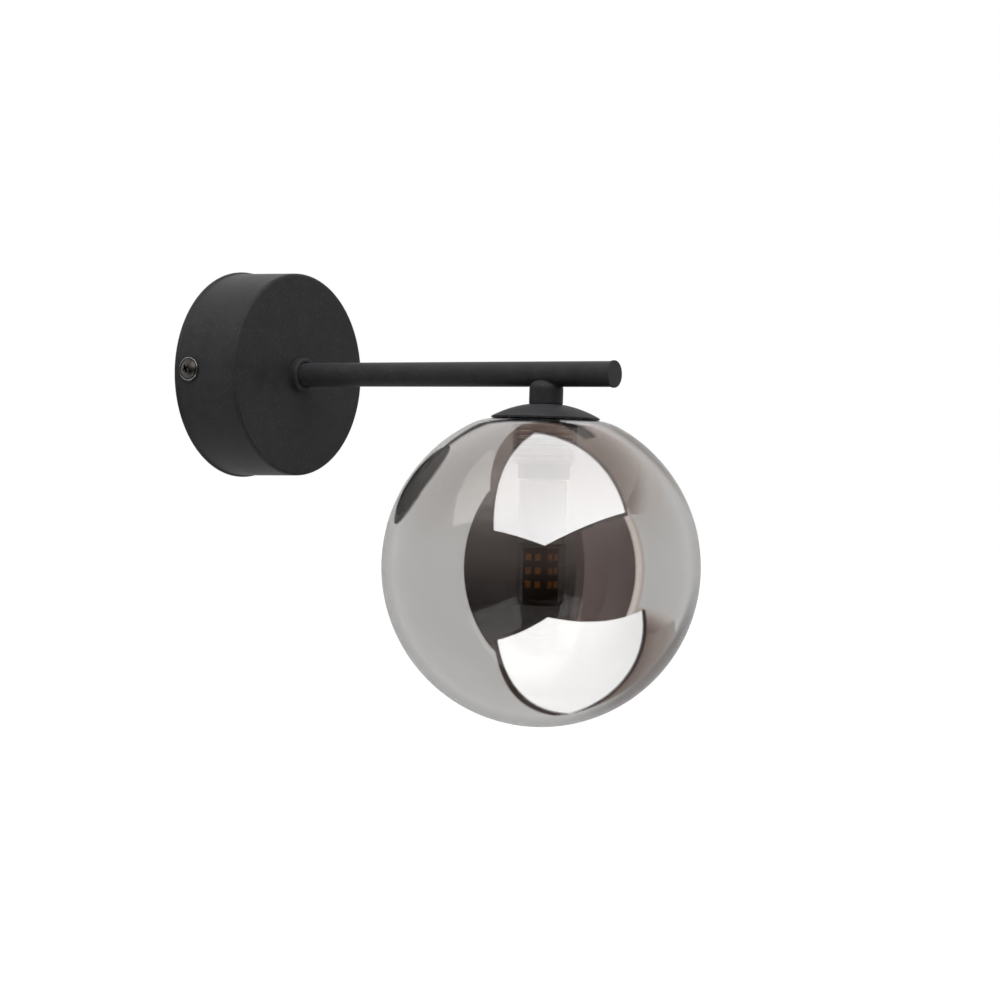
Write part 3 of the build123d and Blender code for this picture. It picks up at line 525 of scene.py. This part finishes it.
def makeGlassCoat(look):
    # the coat thins out towards the top of the globe, so more of the lampholder shows there
    made, tree, shader = newMaterial("glassCoat")
    place = objectPlace(tree)
    height = addNode(tree, "SeparateXYZ")
    tree.links.new(place, height.inputs[0])
    share = spread(tree, height.outputs["Z"], 0.0, 1.0, look["coatBottom"] * mm, look["coatTop"] * mm)
    drift = spread(tree, noise(tree, place, look["coatCloud"], detail=1.0), -look["coatDrift"],
                   look["coatDrift"])
    share = addTogether(tree, share, drift)
    tree.links.new(ramp(tree, share, *look["coatTones"]), shader.inputs["Base Color"])
    metal = ramp(tree, share, *[(where, (amount,) * 3) for where, amount in look["coatMetal"]])
    tree.links.new(metal, shader.inputs["Metallic"])
    blownGlass(tree, place, shader, look)
    return made


material["glassSkin"] = makeGlassSkin(smokedGlass)
material["glassCoat"] = makeGlassCoat(smokedGlass)

# Clear plastics: the lamp's cover, and the milky gasket under the lampholder's flange
clearPlastics = {
    "clearCover": dict(tones=((0.93, 0.93, 0.93), (0.97, 0.97, 0.97)), rough=(0.02, 0.06), index=1.58,
                       wave=6.0, waveHeight=0.01, passing=1.0),
    "clearSilicone": dict(tones=((0.72, 0.73, 0.71), (0.80, 0.81, 0.79)), rough=(0.35, 0.5), index=1.41,
                          wave=1.5, waveHeight=0.02, passing=0.55),
}


def makeClear(name, tones, rough, index, wave, waveHeight, passing):
    made, tree, shader = newMaterial(name)
    place = objectPlace(tree)
    drift = noise(tree, place, wave)
    tree.links.new(twoTones(tree, drift, *tones), shader.inputs["Base Color"])
    tree.links.new(spread(tree, drift, *rough), shader.inputs["Roughness"])
    bumpFrom(tree, drift, waveHeight, shader)
    setInputs(shader, IOR=index, Transmission_Weight=passing)
    return made


for clearName, clearLook in clearPlastics.items():
    material[clearName] = makeClear(clearName, **clearLook)


# Earth wire: yellow insulation with a green stripe on one side (Scale is per metre, here and below)
earthWire = {
    "bands": dict(Scale=90.0, Distortion=0.4, Detail=0.0),
    "stretch": (1, 1, 0.35),
    "turn": 20,
    "stripe": ((0.48, (0.62, 0.55, 0.03)), (0.54, (0.03, 0.22, 0.04))),
    "grain": 0.5,
    "relief": 0.005,
    "rough": 0.42,
}


def makeEarthWire(look):
    made, tree, shader = newMaterial("earthInsulation")
    place = objectPlace(tree, look["stretch"], (0, 0, math.radians(look["turn"])))
    stripe = addNode(tree, "TexWave", wave_type="BANDS", bands_direction="X")
    setInputs(stripe, **look["bands"])
    tree.links.new(place, stripe.inputs["Vector"])
    tree.links.new(ramp(tree, stripe.outputs["Fac"], *look["stripe"]), shader.inputs["Base Color"])
    bumpFrom(tree, noise(tree, place, look["grain"]), look["relief"], shader)
    setInputs(shader, Roughness=look["rough"])
    return made


# Lamp boards: solder mask with slightly raised copper tracks under it
boards = {
    "blackBoard": (((0.010, 0.009, 0.009), (0.016, 0.014, 0.013)), (0.035, 0.027, 0.02)),
    "driverBoard": (((0.02, 0.12, 0.045), (0.03, 0.20, 0.075)), (0.05, 0.26, 0.10)),
}
boardTracks = {
    "cells": dict(Scale=320.0, Randomness=0.35),
    "width": (0.02, 0.05),
    "cloud": 2.0,
    "relief": 0.03,
    "rough": 0.34,
}


def makeBoard(name, maskTones, trackTone, look):
    made, tree, shader = newMaterial(name)
    place = objectPlace(tree)
    tracks = addNode(tree, "TexVoronoi", feature="DISTANCE_TO_EDGE")
    setInputs(tracks, **look["cells"])
    tree.links.new(place, tracks.inputs["Vector"])
    share = spread(tree, tracks.outputs["Distance"], 1.0, 0.0, *look["width"])
    mask = twoTones(tree, noise(tree, place, look["cloud"]), *maskTones)
    tree.links.new(blendColours(tree, share, mask, trackTone), shader.inputs["Base Color"])
    bumpFrom(tree, share, look["relief"], shader)
    setInputs(shader, Roughness=look["rough"])
    return made


# Capacitor sleeve: dark shrink film with one pale stripe down its side
sleeve = {
    "film": ((0.025, 0.03, 0.055), (0.04, 0.045, 0.08)),
    "cloud": 3.0,
    "stripeTone": (0.42, 0.42, 0.44),
    "stripeFrom": 1.5,
    "stripeFull": 1.7,
    "grain": 0.8,
    "relief": 0.01,
    "rough": 0.28,
}


def makeSleeve(look):
    made, tree, shader = newMaterial("capacitorSleeve")
    place = objectPlace(tree)
    across = addNode(tree, "SeparateXYZ")
    tree.links.new(place, across.inputs[0])
    share = spread(tree, across.outputs["X"], 0.0, 1.0, look["stripeFrom"] * mm, look["stripeFull"] * mm)
    film = twoTones(tree, noise(tree, place, look["cloud"]), *look["film"])
    tree.links.new(blendColours(tree, share, film, look["stripeTone"]), shader.inputs["Base Color"])
    bumpFrom(tree, noise(tree, place, look["grain"]), look["relief"], shader)
    setInputs(shader, Roughness=look["rough"])
    return made


material["earthInsulation"] = makeEarthWire(earthWire)
for boardName, (maskTones, trackTone) in boards.items():
    material[boardName] = makeBoard(boardName, maskTones, trackTone, boardTracks)
material["capacitorSleeve"] = makeSleeve(sleeve)
print("finishes ready:", len(material))

# which finish each CAD node that stays visible is painted with
cadFinishes = {
    "powderCoat": ("canopy", "arm_collar", "arm_tube", "arm_plug", "neck", "shade_cap"),
    "zincPlate": ("wall_plate", "ear_nuts", "arm_nut", "arm_lock_washer", "arm_nipple", "neck_nipple",
                  "holder_nut", "earth_washer", "earth_screw", "block_screw", "terminal_screws"),
    "softRubber": ("cable_grommet",),
    "blockNylon": ("terminal_block",),
    "brass": ("terminal_tubes", "centre_contact", "side_contact"),
    "tinnedCopper": ("earth_tag",),
    "brownInsulation": ("live_wire",),
    "blueInsulation": ("neutral_wire",),
    "earthInsulation": ("earth_wire",),
    "glazedCeramic": ("contact_block",),
    "clearSilicone": ("globe_gasket",),
    "blackVitrite": ("lamp_insulator",),
    "solder": ("lamp_tip",),
    "lampPlastic": ("lamp_housing",),
    "aluminium": ("lamp_base",),
    "blackBoard": ("led_boards", "led_end_board"),
    "driverBoard": ("driver_board",),
    "capacitorSleeve": ("driver_capacitor",),
    "clearCover": ("lamp_cover",),
}
for finishName, nodeNames in cadFinishes.items():
    for nodeName in nodeNames:
        for cadSlot in nodes[nodeName].material_slots:
            cadSlot.material = material[finishName]
print("CAD nodes painted:", sum(len(names) for names in cadFinishes.values()))


# Helpers for turned pieces: a section is drawn point by point and spun round its axis
mergeGap = 0.0005  # points of a spun piece nearer than this are one


def arc(centre, radius, first, last, count):
    # points of a section (distance from axis, height), at angles in degrees from straight up
    angles = [math.radians(first + (last - first) * step / count) for step in range(count + 1)]
    return [(centre[0] + radius * math.sin(angle), centre[1] + radius * math.cos(angle))
            for angle in angles]


def straight(start, end, spacing):
    # points from start to end, start left out
    count = max(1, round(math.dist(start, end) / spacing))
    return [(start[0] + (end[0] - start[0]) * step / count, start[1] + (end[1] - start[1]) * step / count)
            for step in range(1, count + 1)]


def turnPiece(name, section, steps, origin=dropAxis, along=upward, across=sideways, ringShape=False):
    # section points are (distance from axis, height along it); a ring's section is closed
    startClean()
    points = list(section) + ([section[0]] if ringShape else [])
    places = [(origin + across * reach + along * height) * mm for reach, height in points]
    bpy.ops.mesh.primitive_plane_add(size=mm)
    piece = bpy.context.object
    piece.name = piece.data.name = name
    bpy.ops.object.mode_set(mode="EDIT")
    bpy.ops.mesh.select_all(action="SELECT")
    bpy.ops.mesh.merge(type="CENTER")
    bpy.ops.transform.translate(value=places[0])
    for before, after in zip(places, places[1:]):
        bpy.ops.mesh.extrude_region_move(TRANSFORM_OT_translate={"value": after - before})
    bpy.ops.mesh.select_all(action="SELECT")
    bpy.ops.mesh.spin(steps=steps, angle=fullTurn, center=origin * mm, axis=along)
    bpy.ops.mesh.select_all(action="SELECT")
    bpy.ops.mesh.remove_doubles(threshold=mergeGap * mm)
    bpy.ops.mesh.select_all(action="SELECT")
    bpy.ops.mesh.normals_make_consistent(inside=False)
    bpy.ops.object.mode_set(mode="OBJECT")
    return piece


def smoothPiece(piece, angle):
    selectOnly(piece)
    bpy.ops.object.shade_smooth_by_angle(angle=math.radians(angle))


def finishPiece(piece, body, slotName, replaced, *finishNames):
    for finishName in finishNames:
        piece.data.materials.append(material[finishName])
    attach(piece, body)
    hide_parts(replaced)
    print("made", piece.name, len(piece.data.polygons), "faces")


def toothShape(distance, crest, base):
    # 1 on the crest of a thread's tooth and 0 at its foot, with rounded shoulders
    rise = min(1.0, max(0.0, (base - distance) / (base - crest)))
    return rise * rise * (3 - 2 * rise)


def cutThread(piece, look, origin=dropAxis, along=upward, across=sideways):
    # a right-hand thread: points of the skin between two radii move out, or in where depth is negative
    beside = along.cross(across)
    inner, outer = look["band"]
    for vertex in piece.data.vertices:
        place = vertex.co / mm - origin
        height = place.dot(along)
        flat = place - along * height
        reach = flat.length
        if not (inner <= reach <= outer and look["low"] <= height <= look["high"]):
            continue
        turn = math.atan2(flat.dot(beside), flat.dot(across)) / fullTurn
        phase = (height / look["pitch"] - turn + look["shift"]) % 1.0
        distance = min(phase, 1 - phase) * look["pitch"]
        ease = min(1.0, (height - look["low"]) / look["fadeLow"], (look["high"] - height) / look["fadeHigh"])
        move = look["depth"] * toothShape(distance, look["crest"], look["base"]) * ease
        vertex.co = vertex.co + flat.normalized() * (move * mm)
    piece.data.update()


# Globe: a glass ball flattened at the top, with a screwed port that hangs inside it
globeGlass = {
    "top": -21.30,
    "radius": 75.0,
    "flat": 5.66,
    "shoulder": 27.0,
    "wall": 1.8,
    "portBore": 14.0,
    "portOutside": 15.2,
    "portBottom": -42.3,
    "edgeRound": 0.5,
    "portEndRound": 0.4,
    "ballRows": 84,
    "shoulderRows": 14,
    "innerShoulderRows": 12,
    "filletRows": 8,
    "edgeRows": 6,
    "portEndRows": 5,
    "topSpacing": 1.0,
    "innerSpacing": 1.5,
    "steps": 144,
    "threadSpacing": 0.14,
    "thread": dict(pitch=2.5, depth=-0.55, crest=0.22, base=0.62, shift=0.5, low=-41.6, high=-22.3,
                   fadeLow=1.6, fadeHigh=1.2, band=(13.9, 14.1)),
    "coatMargin": 1.0,
}


def makeGlobe(look):
    radius, shoulder, wall = look["radius"], look["shoulder"], look["wall"]
    ball = (0, look["top"] + look["flat"] - radius)
    reach = radius - shoulder
    rise = reach - look["flat"]
    shoulderCentre = (math.sqrt(reach ** 2 - rise ** 2), ball[1] + rise)
    bend = math.degrees(math.acos(rise / reach))
    rounding, endRound, endRows = look["edgeRound"], look["portEndRound"], look["portEndRows"]
    top, bottom = look["top"], look["portBottom"]
    bore, outside = look["portBore"], look["portOutside"]
    under = top - wall
    # the outer skin from the bottom up, down through the port's bore and up its outside, then the inner skin
    section = arc(ball, radius, 180, bend, look["ballRows"])
    section += arc(shoulderCentre, shoulder, bend, 0, look["shoulderRows"])[1:]
    section += straight(section[-1], (bore + rounding, top), look["topSpacing"])
    section += arc((bore + rounding, top - rounding), rounding, 0, -90, look["edgeRows"])[1:]
    section += straight(section[-1], (bore, bottom + endRound), look["threadSpacing"])
    section += arc((bore + endRound, bottom + endRound), endRound, -90, -180, endRows)[1:]
    section += arc((outside - rounding, bottom + rounding), rounding, 180, 90, endRows)
    section += straight(section[-1], (outside, under - wall), look["innerSpacing"])
    section += arc((outside + wall, under - wall), wall, -90, 0, look["filletRows"])[1:]
    section += straight(section[-1], (shoulderCentre[0], under), look["innerSpacing"])
    section += arc(shoulderCentre, shoulder - wall, 0, bend, look["innerShoulderRows"])[1:]
    section += arc(ball, radius - wall, bend, 180, look["ballRows"])[1:]
    piece = turnPiece("smokedGlobe", section, look["steps"])
    cutThread(piece, look["thread"])
    piece.data.polygons.foreach_set("use_smooth", [True] * len(piece.data.polygons))
    centre = (dropAxis + upward * ball[1]) * mm
    for face in piece.data.polygons:  # the coat is on the inside of the ball and leaves the port clear
        place = face.center / mm - dropAxis
        inPort = math.hypot(place.x, place.y) < outside + wall and place.z > bottom - look["coatMargin"]
        facesIn = face.normal.dot(centre - face.center) > 0
        face.material_index = 1 if facesIn and not inPort else 0
    finishPiece(piece, "globe", "smoked_glass", "globe", "glassSkin", "glassCoat")


makeGlobe(globeGlass)


# Lampholder: a black moulding with a flange, a coarse thread for the globe and a plain nose
lampholder = {
    "hole": 5.15,
    "roof": -17.6,
    "top": -15.2,
    "boss": 7.5,
    "shoulder": -17.06,
    "neck": 13.7,
    "flange": 17.5,
    "flangeTop": -18.4,
    "flangeUnder": -19.9,
    "threadRoot": 13.2,
    "skirtEnd": -42.6,
    "nose": 12.15,
    "noseEnd": -49.3,
    "bore": 9.6,
    "ease": 0.3,
    "holeEase": 0.2,
    "boreEase": 0.4,
    "rootFillet": (0.5, 0.15),
    "skirtChamfer": (0.4, 0.5),
    "noseRound": ((0.0, 0.6), (0.2, 0.15), (0.6, 0.0)),
    "smooth": 40,
    "steps": 144,
    "threadSpacing": 0.14,
    "thread": dict(pitch=2.5, depth=0.55, crest=0.22, base=0.62, shift=0.0, low=-41.9, high=-21.6,
                   fadeLow=2.4, fadeHigh=0.8, band=(13.1, 13.3)),
}


def makeLampholder(look):
    ease, holeEase, boreEase = look["ease"], look["holeEase"], look["boreEase"]
    hole, top, neck, shoulder = look["hole"], look["top"], look["neck"], look["shoulder"]
    flange, flangeTop, flangeUnder = look["flange"], look["flangeTop"], look["flangeUnder"]
    root, nose, bore = look["threadRoot"], look["nose"], look["bore"]
    skirtEnd, noseEnd = look["skirtEnd"], look["noseEnd"]
    fillet, filletMiddle = look["rootFillet"]
    chamferWidth, chamferHeight = look["skirtChamfer"]
    section = [(hole, look["roof"]), (hole, top - holeEase), (hole + holeEase, top), (look["boss"], top),
               (neck - ease, shoulder), (neck, shoulder - ease), (neck, flangeTop),
               (flange - ease, flangeTop), (flange, flangeTop - ease),
               (flange, flangeUnder + ease), (flange - ease, flangeUnder),
               (root + fillet, flangeUnder), (root + filletMiddle, flangeUnder - filletMiddle),
               (root, flangeUnder - fillet)]
    section += straight(section[-1], (root, skirtEnd + chamferHeight), look["threadSpacing"])
    section += [(root - chamferWidth, skirtEnd), (nose + ease, skirtEnd), (nose, skirtEnd - ease)]
    section += [(nose - inset, noseEnd + lift) for inset, lift in look["noseRound"]]
    section += [(bore + boreEase, noseEnd), (bore, noseEnd + boreEase), (bore, look["roof"])]
    piece = turnPiece("lampholderBody", section, look["steps"], ringShape=True)
    cutThread(piece, look["thread"])
    smoothPiece(piece, look["smooth"])
    finishPiece(piece, "fixture", "holder_black", "holder_body", "holderPlastic")


makeLampholder(lampholder)


# Screw shells of the lamp and of its holder: thin rolled metal with the same round thread
screwShells = {
    "holder": dict(name="holderScrewShell", body="fixture", slot="brass", node="holder_shell",
                   finish="brass", inner=7.25, outer=7.65, low=-46.6, high=-26.6,
                   thread=(-44.6, -27.4)),
    "lamp": dict(name="lampScrewShell", body="lamp", slot="lamp_nickel", node="lamp_shell",
                 finish="lampNickel", inner=6.6, outer=6.95, low=-50.0, high=-30.9,
                 thread=(-45.2, -30.0)),
    "pitch": 2.822,
    "depth": -0.65,
    "shift": 0.5,
    "fade": (1.2, 0.4),
    "bandMargin": 0.05,
    "smooth": 50,
    "steps": 96,
    "spacing": 0.18,
}


def makeScrewShell(look, common):
    inner, outer, low, high = look["inner"], look["outer"], look["low"], look["high"]
    section = straight((outer, high), (outer, low), common["spacing"])
    section = [(outer, high)] + section + straight((inner, low), (inner, high), common["spacing"])
    piece = turnPiece(look["name"], section, common["steps"], ringShape=True)
    threadLow, threadHigh = look["thread"]
    fadeLow, fadeHigh = common["fade"]
    margin = common["bandMargin"]
    cutThread(piece, dict(pitch=common["pitch"], depth=common["depth"], crest=0.0,
                          base=common["pitch"] / 2, shift=common["shift"], low=threadLow, high=threadHigh,
                          fadeLow=fadeLow, fadeHigh=fadeHigh, band=(inner - margin, outer + margin)))
    smoothPiece(piece, common["smooth"])
    finishPiece(piece, look["body"], look["slot"], look["node"], look["finish"])


for shell in ("holder", "lamp"):
    makeScrewShell(screwShells[shell], screwShells)


# Canopy side screws: a flanged head with a turned groove, a low dome, a cross recess and a threaded shank
sideScrew = {
    "depth": 9.0,
    "seat": 51.983,
    "flange": 5.9,
    "flangeHeight": 0.9,
    "flangeEdge": ((-0.3, 0), (-0.08, 0.08), (0, 0.3), (0, 0.66), (-0.1, 0.86), (-0.28, 0.95),
                   (-0.46, 0.9), (-0.56, 0.62)),  # each point: outwards from the flange's edge, up
    "dome": 4.9,
    "domeEdge": ((0.16, 0.5), (0.04, 0.62), (0, 0.95)),  # the groove round the dome
    "domeRows": 14,
    "height": 3.1,
    "shank": 2.5,
    "length": 10.0,
    "tip": 0.6,
    "threadEnd": 0.4,
    "threadSpacing": 0.08,
    "recessSpan": 6.4,
    "recessWidth": 1.55,
    "recessDepth": 2.1,
    "recessTaper": (0.42, 0.7),
    "recessTurn": 24.0,
    # width and heights of the flange's rim band that takes the lighter nickel, partly wear and partly a
    # painted highlight
    "rimWearAndHighlightWidth": 0.42,
    "rimWearAndHighlightHeights": (0.2, 1.0),
    "smooth": 32,
    "steps": 72,
    "thread": dict(pitch=0.8, depth=-0.38, crest=0.05, base=0.4, shift=0.0, low=-9.6, high=-0.8,
                   fadeLow=0.6, fadeHigh=0.6, band=(2.45, 2.55)),
}


def makeRecessTool(look, centre, along, turn):
    # one tapered bar of the cross; its lower end is narrower
    startClean()
    bpy.ops.mesh.primitive_cube_add(size=1)
    tool = bpy.context.object
    bpy.ops.object.mode_set(mode="EDIT")
    bpy.ops.mesh.select_all(action="SELECT")
    bpy.ops.transform.resize(value=(look["recessSpan"] * mm, look["recessWidth"] * mm,
                                    2 * look["recessDepth"] * mm))
    bpy.ops.object.mode_set(mode="OBJECT")
    taperSpan, taperWidth = look["recessTaper"]
    for vertex in tool.data.vertices:
        if vertex.co.z < 0:
            vertex.co.x *= taperSpan
            vertex.co.y *= taperWidth
    tool.matrix_world = Matrix.Translation(centre * mm) @ along.to_track_quat(
        "Z", "Y").to_matrix().to_4x4() @ Matrix.Rotation(math.radians(turn), 4, "Z")
    return tool


def makeSideScrews(look):
    along, across = sideways, upward
    origin = Vector((look["seat"], -look["depth"], 0))
    flange, dome, shank, length = look["flange"], look["dome"], look["shank"], look["length"]
    rise = look["height"] - look["flangeHeight"]
    ballRadius = (dome ** 2 + rise ** 2) / (2 * rise)
    ballAngle = math.degrees(math.asin(dome / ballRadius))
    section = [(0, -length), (shank - look["tip"], -length), (shank, -length + look["tip"])]
    section += straight(section[-1], (shank, -look["threadEnd"]), look["threadSpacing"]) + [(shank, 0)]
    section += [(flange + outwards, height) for outwards, height in look["flangeEdge"]]
    section += [(dome + outwards, height) for outwards, height in look["domeEdge"]]
    section += arc((0, look["height"] - ballRadius), ballRadius, ballAngle, 0, look["domeRows"])[1:]
    piece = turnPiece("canopySideScrew", section, look["steps"], origin, along, across)
    cutThread(piece, look["thread"], origin, along, across)
    top = origin + along * look["height"]
    for turn in (look["recessTurn"], look["recessTurn"] + 90):
        tool = makeRecessTool(look, top, along, turn)
        cut = piece.modifiers.new("recess", "BOOLEAN")
        cut.operation = "DIFFERENCE"
        cut.object = tool
        selectOnly(piece)
        bpy.ops.object.modifier_apply(modifier=cut.name)
        bpy.data.objects.remove(tool)
    smoothPiece(piece, look["smooth"])
    # the flange's outer rim takes the lighter nickel: partly wear, partly a painted highlight
    wearAndHighlightLow, wearAndHighlightHigh = look["rimWearAndHighlightHeights"]
    for face in piece.data.polygons:
        place = face.center / mm - origin
        rim = wearAndHighlightLow < place.x < wearAndHighlightHigh and math.hypot(place.y, place.z) > flange - look["rimWearAndHighlightWidth"]
        face.material_index = 1 if rim else 0
    finishPiece(piece, "fixture", "black_nickel", "canopy_screws", "blackNickel", "wornNickelWithHighlight")
    other = piece.copy()  # the same screw on the canopy's other side, half a turn round
    other.data = piece.data.copy()
    other.name = other.data.name = "canopySideScrewFar"
    scene.collection.objects.link(other)
    pivot = Matrix.Translation(Vector((0, -look["depth"] * mm, 0)))
    other.data.transform(pivot @ Matrix.Rotation(math.pi, 4, "Z") @ pivot.inverted())


makeSideScrews(sideScrew)


# Lamp chips: a tan frame with an amber window sunk into it, on the four sides of the tower
ledChip = {
    "side": 3.4,
    "thickness": 0.8,
    "frame": 0.16,
    "sink": 0.12,
    "windowEase": (0.3, 0.06),
    "edge": 0.12,
    "edgeSegments": 2,
    "columnPitch": 5.1,
    "rowPitch": 6.4,
    "columns": 2,
    "rows": 3,
    "middle": -92.3,
    "tower": 6.05,
    "frameFacing": 0.99,
    "amberFacing": 0.5,
    "smooth": 40,
}


def makeChips(look):
    startClean()
    bpy.ops.mesh.primitive_cube_add(size=1)
    chip = bpy.context.object
    bpy.ops.object.mode_set(mode="EDIT")
    bpy.ops.mesh.select_all(action="SELECT")
    bpy.ops.transform.resize(value=(look["thickness"] * mm, look["side"] * mm, look["side"] * mm))
    bpy.ops.transform.translate(value=(look["thickness"] / 2 * mm, 0, 0))
    bpy.ops.mesh.bevel(offset=look["edge"] * mm, segments=look["edgeSegments"], affect="EDGES")
    bpy.ops.mesh.select_mode(type="FACE")
    bpy.ops.mesh.select_all(action="DESELECT")
    bpy.ops.object.mode_set(mode="OBJECT")
    for face in chip.data.polygons:
        face.select = face.normal.x > look["frameFacing"]
    bpy.ops.object.mode_set(mode="EDIT")
    bpy.ops.mesh.inset(thickness=look["frame"] * mm)
    bpy.ops.mesh.extrude_region_move(TRANSFORM_OT_translate={"value": (-look["sink"] * mm, 0, 0)})
    easeWidth, easeDepth = look["windowEase"]
    bpy.ops.mesh.inset(thickness=easeWidth * mm, depth=easeDepth * mm)
    bpy.ops.object.mode_set(mode="OBJECT")
    window = (look["side"] / 2 - look["edge"] - look["frame"]) * mm
    for face in chip.data.polygons:
        inside = abs(face.center.y) < window and abs(face.center.z) < window
        face.material_index = 1 if inside and face.normal.x > look["amberFacing"] else 0
    # the amber windows' finish carries a painted glow
    for finishName in ("chipFrame", "amberPhosphor"):
        chip.data.materials.append(material[finishName])
    chips = []
    for turn in range(4):
        around = Matrix.Translation(dropAxis * mm) @ Matrix.Rotation(turn * math.pi / 2, 4, "Z")
        for row in range(look["rows"]):
            for column in range(look["columns"]):
                place = Vector((look["tower"], (column - (look["columns"] - 1) / 2) * look["columnPitch"],
                                look["middle"] + (row - (look["rows"] - 1) / 2) * look["rowPitch"]))
                copied = chip.copy()
                copied.data = chip.data.copy()
                copied.data.transform(around @ Matrix.Translation(place * mm))
                scene.collection.objects.link(copied)
                chips.append(copied)
    bpy.data.objects.remove(chip)
    startClean()
    for copied in chips:
        copied.select_set(True)
    bpy.context.view_layer.objects.active = chips[0]
    bpy.ops.object.join()
    piece = bpy.context.object
    piece.name = piece.data.name = "lampChips"
    smoothPiece(piece, look["smooth"])
    finishPiece(piece, "lamp", "chip_amber", "led_chips")


makeChips(ledChip)
startClean()
